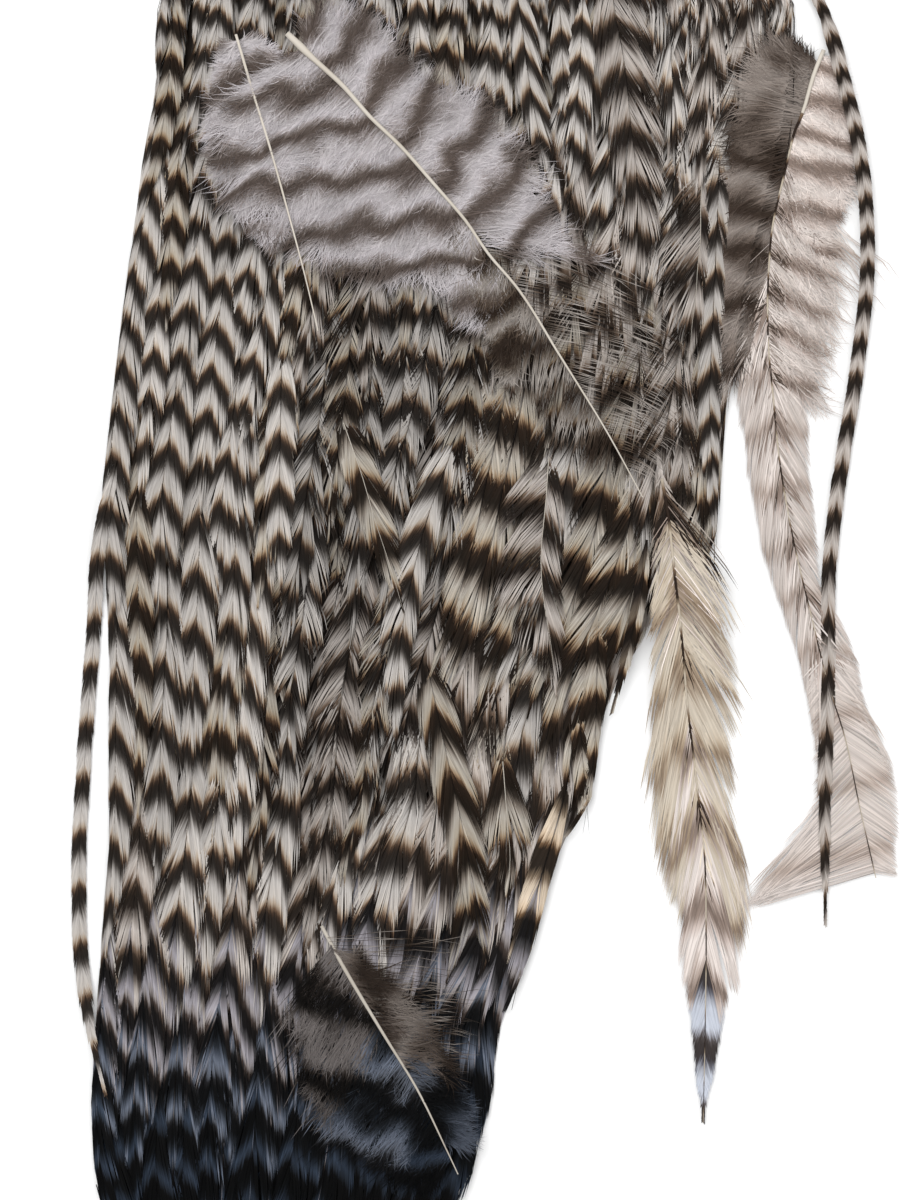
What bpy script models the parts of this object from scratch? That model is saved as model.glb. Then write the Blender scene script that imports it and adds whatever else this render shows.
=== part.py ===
"""Rooster cape pelt with barred hackles, lying feathers up on a flat surface.

The head end points to +Y and the long hackles point to -Y. The origin is at the centre of the
dried skin's underside, which lies flat at z = 0. Outlines are in millimetres from that origin.
"""

import math

import bmesh
import bpy
import numpy as np
from mathutils import Vector
from mathutils.bvhtree import BVHTree

MM = 0.001
GAP = 0.3
SMOOTH_BELOW = math.radians(35)

# The dried skin: how far it reaches, and how thick it is.
SKIN_HEAD_Y = 82.0
SKIN_SHOULDER_Y = -82.0
SKIN_THICKNESS = 1.6
SKIN_INSET = 8.0
SKIN_MIDDLE_X = 2.0
SKIN_EDGE_WAVE = 1.3
SKIN_STATIONS = 19

# The coat's two sides from the head end to the shoulder end, as (x, y).
COAT_LEFT = [
    (-13, 90), (-22, 84), (-33, 72), (-46, 55), (-56.5, 30), (-59.5, 0), (-64, -34), (-68, -70),
    (-66.5, -100), (-66.5, -140), (-68, -160), (-70, -190), (-69.5, -206), (-65, -224),
    (-58, -234),
]
COAT_RIGHT = [
    (15, 90), (26, 84), (42, 72), (58, 55), (71, 30), (68.5, 8), (60, -28), (57, -54),
    (57, -84), (52, -92), (37.5, -96), (36.5, -104), (32, -118), (30.5, -130), (25, -138),
    (18, -162), (12.5, -174), (11, -190), (6.5, -208), (-3, -224), (-12, -234),
]
# How thick the coat is along its middle, as (y, height), and at its rim.
COAT_CROWN = [
    (90, 3.5), (80, 6.5), (55, 10), (15, 12.5), (-45, 13), (-95, 11), (-150, 8), (-224, 4.5),
    (-234, 3),
]
COAT_RIM = 2.2
COAT_ROUNDNESS = 2.4
COAT_FULLNESS = 0.8
COAT_STATIONS_Y = [
    90, 84, 72, 55, 30, 8, -14, -34, -54, -70, -84, -92, -96, -104, -118, -138, -162, -174, -190,
    -208, -224, -234,
]
COAT_COLUMNS = 10

# The right side that the locks follow: they run on down past the step where the widest row ends.
FLOW_RIGHT = [
    (15, 90), (26, 84), (42, 72), (58, 55), (71, 30), (68.5, 8), (60, -28), (56, -56), (50, -78),
    (42, -98), (33, -118), (25, -138), (18, -162), (12.5, -174), (11, -190), (6.5, -208),
    (-3, -224), (-12, -240), (-16, -256),
]
FLOW_LEFT = [*COAT_LEFT[:-1], (-60, -240), (-54, -256)]

# Rows of fused locks, from the shoulder end up: tip y, length, how many, and the band they fill,
# from -1 at the flow's left side to 1 at its right side.
LOCK_ROWS = [
    (-240, 62, 8, -1.0, 1.0),
    (-209, 60, 7, -1.0, 1.0),
    (-178, 60, 8, -1.0, 1.0),
    (-146, 62, 8, -1.0, 1.0),
    (-115, 62, 8, -1.0, 0.95),
    (-87, 58, 9, -1.0, 1.14),
    (-54, 56, 8, -1.0, 1.0),
    (-22, 50, 8, -1.0, 1.0),
    (8, 46, 8, -1.0, 1.0),
    (38, 34, 7, -1.0, 1.0),
    (66, 26, 4, -0.95, 0.95),
]
LOCK_STAGGER = 0.22
LOCK_OVERLAP = 1.2
LOCK_RISE = 2.1
LOCK_DEPTH = 2.6
LOCK_EDGE_DEPTH = 1.0
LOCK_STATIONS = [0.0, 0.3, 0.62, 0.86, 1.0]
LOCK_WIDTHS = [0.55, 0.9, 1.0, 0.66, 0.0]
LOCK_RISES = [-0.6, 0.35, 0.8, 1.0, 0.1]
LOCK_TIP_JITTER = 6.0
LOCK_WIDTH_JITTER = 0.1
LOCK_LEAST_LOW = 0.15
LOCK_LEAST_EDGE = 0.45
LOCK_LEAST_TOP = 0.8
LAST_ROW_BOW = 7.0
HEAD_END_Y = 87.0
SEED = 7

# Feathers that lie apart from the coat, from quill to tip: the shaft, then each edge of the vane.
LEFT_STRAY = {
    "count": 14, "columns": 1,
    "shaft": [(-65, -62), (-68.6, -79), (-70, -98), (-71.8, -122), (-72.9, -146), (-72.4, -162),
              (-70.4, -176), (-67, -190)],
    "half_width": [(0, 0.9), (0.3, 1.5), (0.6, 1.8), (0.85, 1.6), (1, 0)],
}
RIGHT_LONG = {
    "count": 26, "columns": 1,
    "shaft": [(61, 50), (70.5, 40), (76.4, 30), (81, 15), (84.4, 0), (86, -22), (84.2, -42),
              (80.4, -66), (78.4, -84), (78.2, -104), (77.6, -124), (77.6, -156)],
    "half_width": [(0, 0.9), (0.2, 1.5), (0.55, 1.6), (0.85, 1.5), (1, 0)],
}
SHORT_DARK = {
    "count": 8, "columns": 1,
    "shaft": [(41.2, -78), (39.8, -90), (37.7, -100), (34.4, -113)],
    "half_width": [(0, 0.9), (0.4, 1.5), (0.75, 1.3), (1, 0)],
}
PALE_HACKLE = {
    "count": 22, "columns": 1,
    "shaft": [(44.5, -64), (46.8, -81), (49.8, -110), (52, -131), (53.8, -155), (53.6, -180),
              (53, -195.4)],
    "left": [(44.0, -64), (43.4, -84), (42.3, -106), (42.4, -122), (44.2, -137), (45.6, -150),
             (48, -164), (50.6, -178), (53, -195.4)],
    "right": [(45.0, -64), (51.6, -84), (57.8, -106), (59.4, -116), (58.0, -130), (60.6, -148),
              (61.2, -164), (56.8, -179), (53, -195.4)],
}
SIDE_DOWNY = {
    "count": 18, "columns": 2,
    "shaft": [(76.8, 20.4), (70, -4), (66.4, -30), (66.6, -46), (71.6, -78), (77.4, -97),
              (81, -117), (85.8, -137), (87.8, -147)],
    "left": [(76.4, 20.4), (66, 10), (59.6, -10), (58.6, -32), (61.8, -66), (68.4, -90),
             (74, -114), (75, -132), (62.4, -150.6)],
    "right": [(77.2, 20.4), (82.6, 14), (83.6, -8), (78, -24), (75, -44), (75.4, -70),
              (81.4, -104), (89.4, -122), (92.6, -146)],
}
LOOSE_DOWNY = {
    "count": 18, "columns": 3,
    "shaft": [(-30, 22), (-2, -8), (24, -44), (42, -72)],
    "left": [(-30.4, 21.6), (-38, 8), (-37, -14), (-19, -35), (4, -46), (24, -64), (42, -72)],
    "right": [(-29.6, 22.4), (-12, 22), (8, 12), (20, -6), (33, -22), (41, -48), (42, -72)],
}
LOOSE_THIN = {
    "count": 12, "columns": 2,
    "shaft": [(-40, 21), (-35.6, 4), (-30, -14), (-24, -37)],
    "left": [(-40.4, 21), (-46, 8), (-44.5, -8), (-36, -24), (-24, -37)],
    "right": [(-39.6, 21), (-30, 14), (-23, -4), (-21.5, -20), (-24, -37)],
}
LOOSE_LOWER = {
    "count": 12, "columns": 3,
    "shaft": [(-23.8, -154.6), (-18.2, -164), (-5.6, -187.6), (4, -205)],
    "left": [(-24.2, -154.6), (-29, -168), (-24, -190), (-10, -205), (4, -205)],
    "right": [(-23.4, -154.6), (-12, -152), (4, -160), (10.5, -182), (4, -205)],
}
SHAFT_HEIGHT = 0.9
SHAFT_TAPER = 0.75
VANE_THICKNESS = 0.55
EDGE_THICKNESS = 0.35
NOTCH = 0.22

# A feather that lies on others clears the highest point near each of its own, seen from above.
LYING_GAP = 0.5
LOOK_FROM_Z = 60.0
LOOK_REACH = 0.6
LOOK_STEPS = 7

# The room in the coat for a feather's root runs past its ends, and is open below.
ROOM_ENDS = 0.01
ROOM_DEPTH = 2.0

COLOURS = {
    "skin": ((0.56, 0.42, 0.27), 0.62),
    "hackle_coat": ((0.17, 0.135, 0.11), 0.55),
    "left_stray_hackle": ((0.20, 0.165, 0.135), 0.5),
    "right_long_hackle": ((0.19, 0.155, 0.13), 0.5),
    "pale_hackle": ((0.60, 0.53, 0.43), 0.55),
    "short_dark_hackle": ((0.06, 0.045, 0.035), 0.5),
    "side_downy_feather": ((0.50, 0.41, 0.35), 0.75),
    "loose_downy_feather": ((0.28, 0.25, 0.245), 0.8),
    "loose_thin_feather": ((0.30, 0.27, 0.265), 0.8),
    "loose_lower_feather": ((0.16, 0.145, 0.14), 0.75),
}


def clear_scene():
    for obj in list(bpy.data.objects):
        bpy.data.objects.remove(obj, do_unlink=True)


def collection(name):
    made = bpy.data.collections.new(name)
    bpy.context.scene.collection.children.link(made)
    return made


def finish_of(name):
    """A Principled material with the piece's main colour and roughness."""
    colour, roughness = COLOURS[name]
    material = bpy.data.materials.new(name)
    material.use_nodes = True
    shader = material.node_tree.nodes["Principled BSDF"]
    shader.inputs["Base Color"].default_value = (*colour, 1.0)
    shader.inputs["Roughness"].default_value = roughness
    shader.inputs["Metallic"].default_value = 0.0
    return material


def smooth_through(points, fractions):
    """Points at these fractions of the length of a smooth curve through the given points."""
    points = np.asarray(points, float)
    reach = np.concatenate([[0.0], np.cumsum(np.linalg.norm(np.diff(points, axis=0), axis=1))])
    slopes = np.gradient(points, reach, axis=0)
    at = np.asarray(fractions) * reach[-1]
    left = np.clip(np.searchsorted(reach, at, side="right") - 1, 0, len(points) - 2)
    span = (reach[left + 1] - reach[left])[:, None]
    t = ((at - reach[left])[:, None]) / span
    start = (1 + 2 * t) * (1 - t) ** 2 * points[left] + t * (1 - t) ** 2 * span * slopes[left]
    end = t * t * (3 - 2 * t) * points[left + 1] - t * t * (1 - t) * span * slopes[left + 1]
    return start + end


def side_x(side, y):
    """The x of one side of the coat at this y."""
    xs, ys = np.array(side, float).T
    return float(np.interp(-y, -ys, xs))


def crown(y):
    ys, heights = np.array(COAT_CROWN, float).T
    return float(np.interp(-y, -ys, heights))


def across(u, y, sides):
    """The x at u, which runs from -1 at the left side to 1 at the right side."""
    left, right = side_x(sides[0], y), side_x(sides[1], y)
    return 0.5 * (left + right) + 0.5 * u * (right - left)


def coat_height(x, y):
    """The height of the coat's body under the locks."""
    left, right = side_x(COAT_LEFT, y), side_x(COAT_RIGHT, y)
    u = min(1.0, abs(2 * x - left - right) / (right - left))
    return COAT_RIM + (crown(y) - COAT_RIM) * (1 - u**COAT_ROUNDNESS) ** COAT_FULLNESS


def solid_from_rings(name, rings, into):
    """Lofts closed rings of equal length into one solid. A last ring of one point is a tip."""
    mesh = bmesh.new()
    rows = [[mesh.verts.new(Vector(point) * MM) for point in ring] for ring in rings]
    for ring, following in zip(rows, rows[1:]):
        for i in range(len(ring)):
            j = (i + 1) % len(ring)
            if len(following) == 1:
                mesh.faces.new((ring[i], ring[j], following[0]))
            else:
                mesh.faces.new((ring[i], ring[j], following[j], following[i]))
    for ring in (rows[0], rows[-1]):
        if len(ring) > 1:
            mesh.faces.new(ring)
    bmesh.ops.recalc_face_normals(mesh, faces=mesh.faces)
    bmesh.ops.triangulate(mesh, faces=mesh.faces)
    data = bpy.data.meshes.new(name)
    mesh.to_mesh(data)
    mesh.free()
    obj = bpy.data.objects.new(name, data)
    into.objects.link(obj)
    return obj


def as_helper(obj):
    obj.hide_render = True
    obj.display_type = "WIRE"
    return obj


def skin_outline(grow):
    """The trimmed edge of the skin, anticlockwise, in slow waves where it was cut and shrank."""
    turn = np.linspace(0, np.pi, SKIN_STATIONS)
    ys = 0.5 * (SKIN_HEAD_Y + SKIN_SHOULDER_Y) + 0.5 * (SKIN_HEAD_Y - SKIN_SHOULDER_Y) * np.cos(turn)
    tuck = np.sin(turn) ** 0.55
    sides = []
    for side, sign in ((COAT_LEFT, -1), (COAT_RIGHT, 1)):
        xs = np.array([side_x(side, y) for y in ys]) - sign * SKIN_INSET
        wave = SKIN_EDGE_WAVE * np.sin(9 * turn + sign) * tuck
        sides.append(np.column_stack([SKIN_MIDDLE_X + (xs - SKIN_MIDDLE_X) * tuck + wave, ys]))
    outline = np.concatenate([sides[0], sides[1][-2:0:-1]])
    centre = outline.mean(axis=0)
    away = outline - centre
    return centre + away * (1 + grow / np.linalg.norm(away, axis=1))[:, None]


def flat_plate(name, outline, low, high, into):
    """A flat outline as a filled 2D curve, extruded to reach from low to high, made a mesh."""
    curve = bpy.data.curves.new(name, "CURVE")
    curve.dimensions = "2D"
    curve.fill_mode = "BOTH"
    curve.extrude = 0.5 * (high - low) * MM
    spline = curve.splines.new("POLY")
    spline.points.add(len(outline) - 1)
    for point, (x, y) in zip(spline.points, outline):
        point.co = (x * MM, y * MM, 0, 1)
    spline.use_cyclic_u = True
    guide = bpy.data.objects.new(name + "_outline", curve)
    into.objects.link(guide)
    guide.location.z = 0.5 * (low + high) * MM
    bpy.context.view_layer.update()
    graph = bpy.context.evaluated_depsgraph_get()
    data = bpy.data.meshes.new_from_object(guide.evaluated_get(graph))
    mesh = bmesh.new()
    mesh.from_mesh(data)
    bmesh.ops.remove_doubles(mesh, verts=mesh.verts, dist=0.00005)
    bmesh.ops.recalc_face_normals(mesh, faces=mesh.faces)
    mesh.to_mesh(data)
    mesh.free()
    data.name = name
    obj = bpy.data.objects.new(name, data)
    obj.matrix_world = guide.matrix_world
    into.objects.link(obj)
    bpy.data.objects.remove(guide, do_unlink=True)
    return obj


def coat_body(into):
    """The packed mass of feathers: flat below, crowned above, as wide as its two sides say."""
    rings = []
    for y in COAT_STATIONS_Y:
        us = np.cos(np.linspace(np.pi, 0, COAT_COLUMNS + 1))
        xs = [across(u, y, (COAT_LEFT, COAT_RIGHT)) for u in us]
        top = [(x, y, coat_height(x, y)) for x in xs]
        rings.append([(xs[0], y, 0.0), *top, (xs[-1], y, 0.0)])
    return solid_from_rings("hackle_coat", rings, into)


def lock(name, u, tip_y, length, width, into):
    """One leaf-shaped lock: a ridge that lies half sunk in the coat, with its tip to -Y."""
    rings = []
    for t, share, rise in zip(LOCK_STATIONS, LOCK_WIDTHS, LOCK_RISES):
        y = min(tip_y + length * (1 - t), HEAD_END_Y - t)
        x = across(u, y, (FLOW_LEFT, FLOW_RIGHT))
        top = (x, y, max(coat_height(x, y) + rise * LOCK_RISE, LOCK_LEAST_TOP))
        low = (x, y, max(coat_height(x, y) - LOCK_DEPTH, LOCK_LEAST_LOW))
        edges = []
        for edge_x in (x - 0.5 * width * share, x + 0.5 * width * share):
            edge_z = coat_height(edge_x, y) - LOCK_EDGE_DEPTH
            edges.append((edge_x, y, max(edge_z, LOCK_LEAST_EDGE)))
        rings.append([edges[0], top, edges[1], low] if share else [edges[0]])
    return solid_from_rings(name, rings, into)


def coat_locks(into):
    """Rows of locks down the whole coat, staggered from row to row like shingles."""
    draws = np.random.default_rng(SEED)
    flow = (FLOW_LEFT, FLOW_RIGHT)
    for row, (tip_y, length, count, first, last) in enumerate(LOCK_ROWS):
        cell = (last - first) / count
        pitch = (across(last, tip_y, flow) - across(first, tip_y, flow)) / count
        stagger = cell * LOCK_STAGGER * (1 if row % 2 else -1)
        bow = LAST_ROW_BOW if row == 0 else 0
        for i in range(count):
            u = first + (i + 0.5) * cell + (stagger if 0 < i < count - 1 else 0)
            end = tip_y - bow * (1 - u * u) + draws.uniform(-1, 1) * LOCK_TIP_JITTER
            width = pitch * LOCK_OVERLAP * (1 + draws.uniform(-1, 1) * LOCK_WIDTH_JITTER)
            as_helper(lock(f"lock_{row}_{i}", u, end, length, width, into))


def narrow_edges(shape, stations):
    """The shaft and both edges of a narrow hackle, from its half width along the shaft."""
    middle = smooth_through(shape["shaft"], stations)
    where, halves = np.array(shape["half_width"], float).T
    half = np.interp(stations, where, halves)
    along = np.gradient(middle, axis=0)
    along /= np.linalg.norm(along, axis=1)[:, None]
    normal = np.column_stack([along[:, 1], -along[:, 0]]) * half[:, None]
    return middle + normal, middle, middle - normal


def wide_edges(shape, stations):
    """The shaft and both edges of a wide vane, each from its own outline."""
    return tuple(smooth_through(shape[part], stations) for part in ("left", "shaft", "right"))


def notched(edge, middle):
    """Pulls every other point of an edge towards the shaft, where the barbs part."""
    pulled = edge.copy()
    pulled[2:-1:2] += NOTCH * (middle[2:-1:2] - pulled[2:-1:2])
    return pulled


def resting_z(trees, x, y, reach):
    """The lowest z that clears these solids near (x, y): 0, the surface, where there is none."""
    tops = []
    for dx in np.linspace(-reach, reach, LOOK_STEPS):
        for dy in np.linspace(-reach, reach, LOOK_STEPS):
            start = Vector((x + dx, y + dy, LOOK_FROM_Z)) * MM
            hits = [tree.ray_cast(start, Vector((0, 0, -1)))[0] for tree in trees]
            tops += [hit.z / MM for hit in hits if hit is not None]
    return max(tops) + LYING_GAP if tops else 0.0


def feather(name, shape, into, trees=(), grow=0.0):
    """A feather as one solid: a tapered shaft down the middle of two thin notched vanes.

    It lies on the surface, or on whatever the trees hold. With grow it is that much fatter, and
    cuts the room for the feather's root.
    """
    ends, depth = (ROOM_ENDS, ROOM_DEPTH) if grow else (0.0, 0.0)
    stations = np.linspace(-ends, 1 + ends, shape["count"])
    if "half_width" in shape:
        left, middle, right = narrow_edges(shape, stations)
    else:
        left, middle, right = wide_edges(shape, stations)
        if not grow:
            left, right = notched(left, middle), notched(right, middle)
    columns = shape["columns"]
    step = np.linalg.norm(middle[1] - middle[0])
    rings = []
    for i, t in enumerate(stations):
        lower, upper = [], []
        for f in np.linspace(-1, 1, 2 * columns + 1):
            edge = left[i] if f < 0 else right[i]
            x, y = middle[i] + abs(f) * (edge - middle[i])
            reach = LOOK_REACH * max(step, np.linalg.norm(edge - middle[i]) / columns)
            z = resting_z(trees, x, y, reach)
            thick = VANE_THICKNESS + (EDGE_THICKNESS - VANE_THICKNESS) * abs(f) + grow
            if f == 0:
                thick += SHAFT_HEIGHT * (1 - SHAFT_TAPER * t)
            x += np.sign(f) * grow
            lower.append((x, y, z - depth))
            upper.append((x, y, z + thick))
        is_tip = np.allclose(left[i], right[i])
        rings.append([upper[columns]] if is_tip else [*upper, *reversed(lower)])
    return solid_from_rings(name, rings, into)


def tree_of(obj):
    bpy.context.view_layer.update()
    return BVHTree.FromObject(obj, bpy.context.evaluated_depsgraph_get())


def with_boolean(obj, operation, others, name):
    modifier = obj.modifiers.new(name, "BOOLEAN")
    modifier.operation = operation
    modifier.operand_type = "COLLECTION"
    modifier.collection = others
    modifier.solver = "EXACT"


def build():
    clear_scene()
    pelt = collection("rooster_cape_pelt")
    locks = collection("locks")
    cutters = collection("cutters")

    flat_plate("skin", skin_outline(0), 0, SKIN_THICKNESS, pelt)
    room_top = SKIN_THICKNESS + GAP
    as_helper(flat_plate("skin_room", skin_outline(GAP), -ROOM_DEPTH, room_top, cutters))

    coat = coat_body(pelt)
    coat_locks(locks)
    with_boolean(coat, "UNION", locks, "locks")
    as_helper(feather("left_stray_room", LEFT_STRAY, cutters, grow=GAP))
    as_helper(feather("right_long_room", RIGHT_LONG, cutters, grow=GAP))
    as_helper(feather("short_dark_room", SHORT_DARK, cutters, grow=GAP))
    as_helper(feather("pale_hackle_room", PALE_HACKLE, cutters, grow=GAP))
    with_boolean(coat, "DIFFERENCE", cutters, "rooms")

    feather("left_stray_hackle", LEFT_STRAY, pelt)
    feather("short_dark_hackle", SHORT_DARK, pelt)
    feather("pale_hackle", PALE_HACKLE, pelt)
    coat_top = tree_of(coat)
    side = feather("side_downy_feather", SIDE_DOWNY, pelt, [coat_top])
    feather("right_long_hackle", RIGHT_LONG, pelt, [tree_of(side)])
    downy = feather("loose_downy_feather", LOOSE_DOWNY, pelt, [coat_top])
    feather("loose_thin_feather", LOOSE_THIN, pelt, [coat_top, tree_of(downy)])
    feather("loose_lower_feather", LOOSE_LOWER, pelt, [coat_top])

    for obj in pelt.objects:
        obj.data.materials.append(finish_of(obj.name))
        obj.data.shade_smooth()
        obj.data.set_sharp_from_angle(angle=SMOOTH_BELOW)


build()
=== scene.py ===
import math

import bpy
import numpy as np
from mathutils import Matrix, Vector


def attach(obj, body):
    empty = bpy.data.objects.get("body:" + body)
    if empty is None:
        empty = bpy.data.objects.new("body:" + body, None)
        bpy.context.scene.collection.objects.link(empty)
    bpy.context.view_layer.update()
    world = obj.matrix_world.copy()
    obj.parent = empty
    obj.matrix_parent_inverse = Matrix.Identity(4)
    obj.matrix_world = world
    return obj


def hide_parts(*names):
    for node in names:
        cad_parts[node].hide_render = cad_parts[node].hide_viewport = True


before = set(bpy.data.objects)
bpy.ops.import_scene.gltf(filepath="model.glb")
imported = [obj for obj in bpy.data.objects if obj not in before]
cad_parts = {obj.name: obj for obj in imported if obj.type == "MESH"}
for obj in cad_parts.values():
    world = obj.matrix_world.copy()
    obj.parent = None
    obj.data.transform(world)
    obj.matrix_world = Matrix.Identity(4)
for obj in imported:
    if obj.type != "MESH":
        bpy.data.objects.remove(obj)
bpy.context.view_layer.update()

# A rooster's cape pelt: grizzly barred hackles on a dried skin, seen from straight above.
# Lengths are in millimetres in the frame of the CAD model, and pieces are made in metres.
# The feathers grow from the head at +Y towards -Y. Along a feather, one bar and one gap
# are one unit of phase. Each barb is a tapered ribbon of its own.
MM = 0.001
SEED = 1127

# The coat's outlines and the crown's height, as the CAD coat has them.
COAT_LEFT = [
    (-13, 90), (-22, 84), (-33, 72), (-46, 55), (-56.5, 30), (-59.5, 0), (-64, -34), (-68, -70),
    (-66.5, -100), (-66.5, -140), (-68, -160), (-70, -190), (-69.5, -206), (-65, -224), (-58, -234),
]
COAT_RIGHT = [
    (15, 90), (26, 84), (42, 72), (58, 55), (71, 30), (68.5, 8), (60, -28), (57, -54), (57, -84),
    (52, -92), (37.5, -96), (36.5, -104), (32, -118), (30.5, -130), (25, -138), (18, -162),
    (12.5, -174), (11, -190), (6.5, -208), (-3, -224), (-12, -234),
]
FLOW_LEFT = [*COAT_LEFT[:-1], (-60, -240), (-54, -256)]
FLOW_RIGHT = [
    (15, 90), (26, 84), (42, 72), (58, 55), (71, 30), (68.5, 8), (60, -28), (56, -54), (50, -78),
    (42, -96), (36.5, -105), (32, -118), (30.5, -130), (25, -138), (18, -162), (12.5, -174), (11, -190),
    (6.5, -208), (-3, -224), (-12, -240), (-16, -256),
]
BODY_RIGHT = [*FLOW_RIGHT[:7], (57, -54), (56, -76), (50, -89), (42, -98), *FLOW_RIGHT[10:]]
SKIRT_LEFT = [(20, 90), (31, 40), (35, 0), (37, -45), (39, -100)]
SKIRT_RIGHT = [(15, 90), (42, 72), (71, 30), (68.5, 8), (60, -28), (57.5, -54), (57.5, -84), (56, -104)]
COAT_CROWN = [
    (90, 3.5), (80, 6.5), (55, 10), (15, 12.5), (-45, 13), (-95, 11), (-150, 8), (-224, 4.5), (-240, 3),
]
COAT_RIM = 1.7
COAT_ROUNDNESS = 2.4
COAT_FULLNESS = 0.8
COAT_TOP_RISE = 0.8

# What loose feathers lie on: the coat between these heights, no lower than its rim, or what is beside it.
COAT_SPAN = (-236, 88)
COAT_LEAST = 2.8
BESIDE_COAT = 0.15

# The distance from bar to bar down the coat at each height, left and right, and where one dark bar lies.
LEFT_PERIODS = [
    (90, 5.5), (45, 6.4), (30, 7.4), (10, 8.6), (-48, 9.0), (-64, 10.0), (-78, 11.2), (-160, 11.8),
    (-185, 10.5), (-256, 10),
]
RIGHT_PERIODS = [
    (90, 7), (45, 8.5), (20, 10.8), (-45, 11.4), (-70, 13.2), (-95, 14.2), (-150, 15), (-175, 13), (-256, 11),
]
DARK_PHASE = 0.7
LEFT_DARK_BAR = -104.8
RIGHT_DARK_BAR = -111.6

# Rows of the pattern: each class of feather has its own rows of the swatch sheet.
CLASSES = 20
ROWS_EACH = 50
ROWS = CLASSES * ROWS_EACH
PHASES = 10
PHASE_WRAP = 7
ROW_HALF_WIDTH = 0.35

# How barbs and fuzz are made: the places of their points along them, their widths there, how far above the
# ground they stay, the length in which a slope of 1 is one whole bar, and what all downy barbs share.
BARB_PLACES = np.array([0.0, 0.38, 0.76, 1.0])
BARB_TAPER = ([0, 0.5, 0.8, 1], [0.85, 1.0, 0.72, 0.0])
HAIR_PLACES = np.array([0.0, 0.55, 1.0])
HAIR_TAPER = np.array([0.8, 1.0, 0.0])
LOWEST_BARB = 0.25
BARB_CLEARANCE = 0.12
HAIR_CLEARANCE = 0.3
SLOPE_LENGTH = 10.0
DOWNY = dict(stations=6, lift=0.15, power=1.15, tilt=0.15, least=-20)

# How much a barb's tone changes its brightness, and the gain at the middle tone under these lights. Each barb
# differs a little from its neighbours in where its bars lie and in brightness.
TONE_RANGE = 0.8
MIDDLE_GAIN = 0.83
BARB_SHIFT = 0.08
BARB_FLICKER = 0.16
FEATHER_ROUGHNESS = 0.55
MOTTLE_SCALE = 900
MOTTLE_DEPTH = 0.25

# The bar classes of each look, which are the look slots too.
SLOT_KINDS = {
    "barred_hackle": [
        "crisp", "warm", "soft", "half_shade", "shadow", "deep_shadow", "umber", "fluff", "cream", "midrib", "shaft",
    ],
    "pale_feather": ["pale", "slate", "dash", "soft", "blush"],
    "side_down": ["blush", "smoke", "veil", "dash", "shaft"],
    "grey_down": ["down", "web", "shaded_grey", "smoke", "shadow", "deep_shadow", "shaft"],
}

# The view straight down, in metres: the lamps' places, sizes and powers, the point they are turned to, and
# the camera.
ROOM_LIGHT = 0.55
LAMPS = {"key": ((-0.4, 0.5, 1.6), 1.2, 26), "fill": ((0.9, -0.5, 1.5), 1.4, 9.5)}
LIT_POINT = Vector((0, -0.08, 0))
SENSOR = 36
CAMERA_LENS = 100
PHOTO_HEIGHT = 0.24
CAMERA_PLACE = (0.002, -0.09, 0.006 + PHOTO_HEIGHT * CAMERA_LENS / SENSOR)

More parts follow.
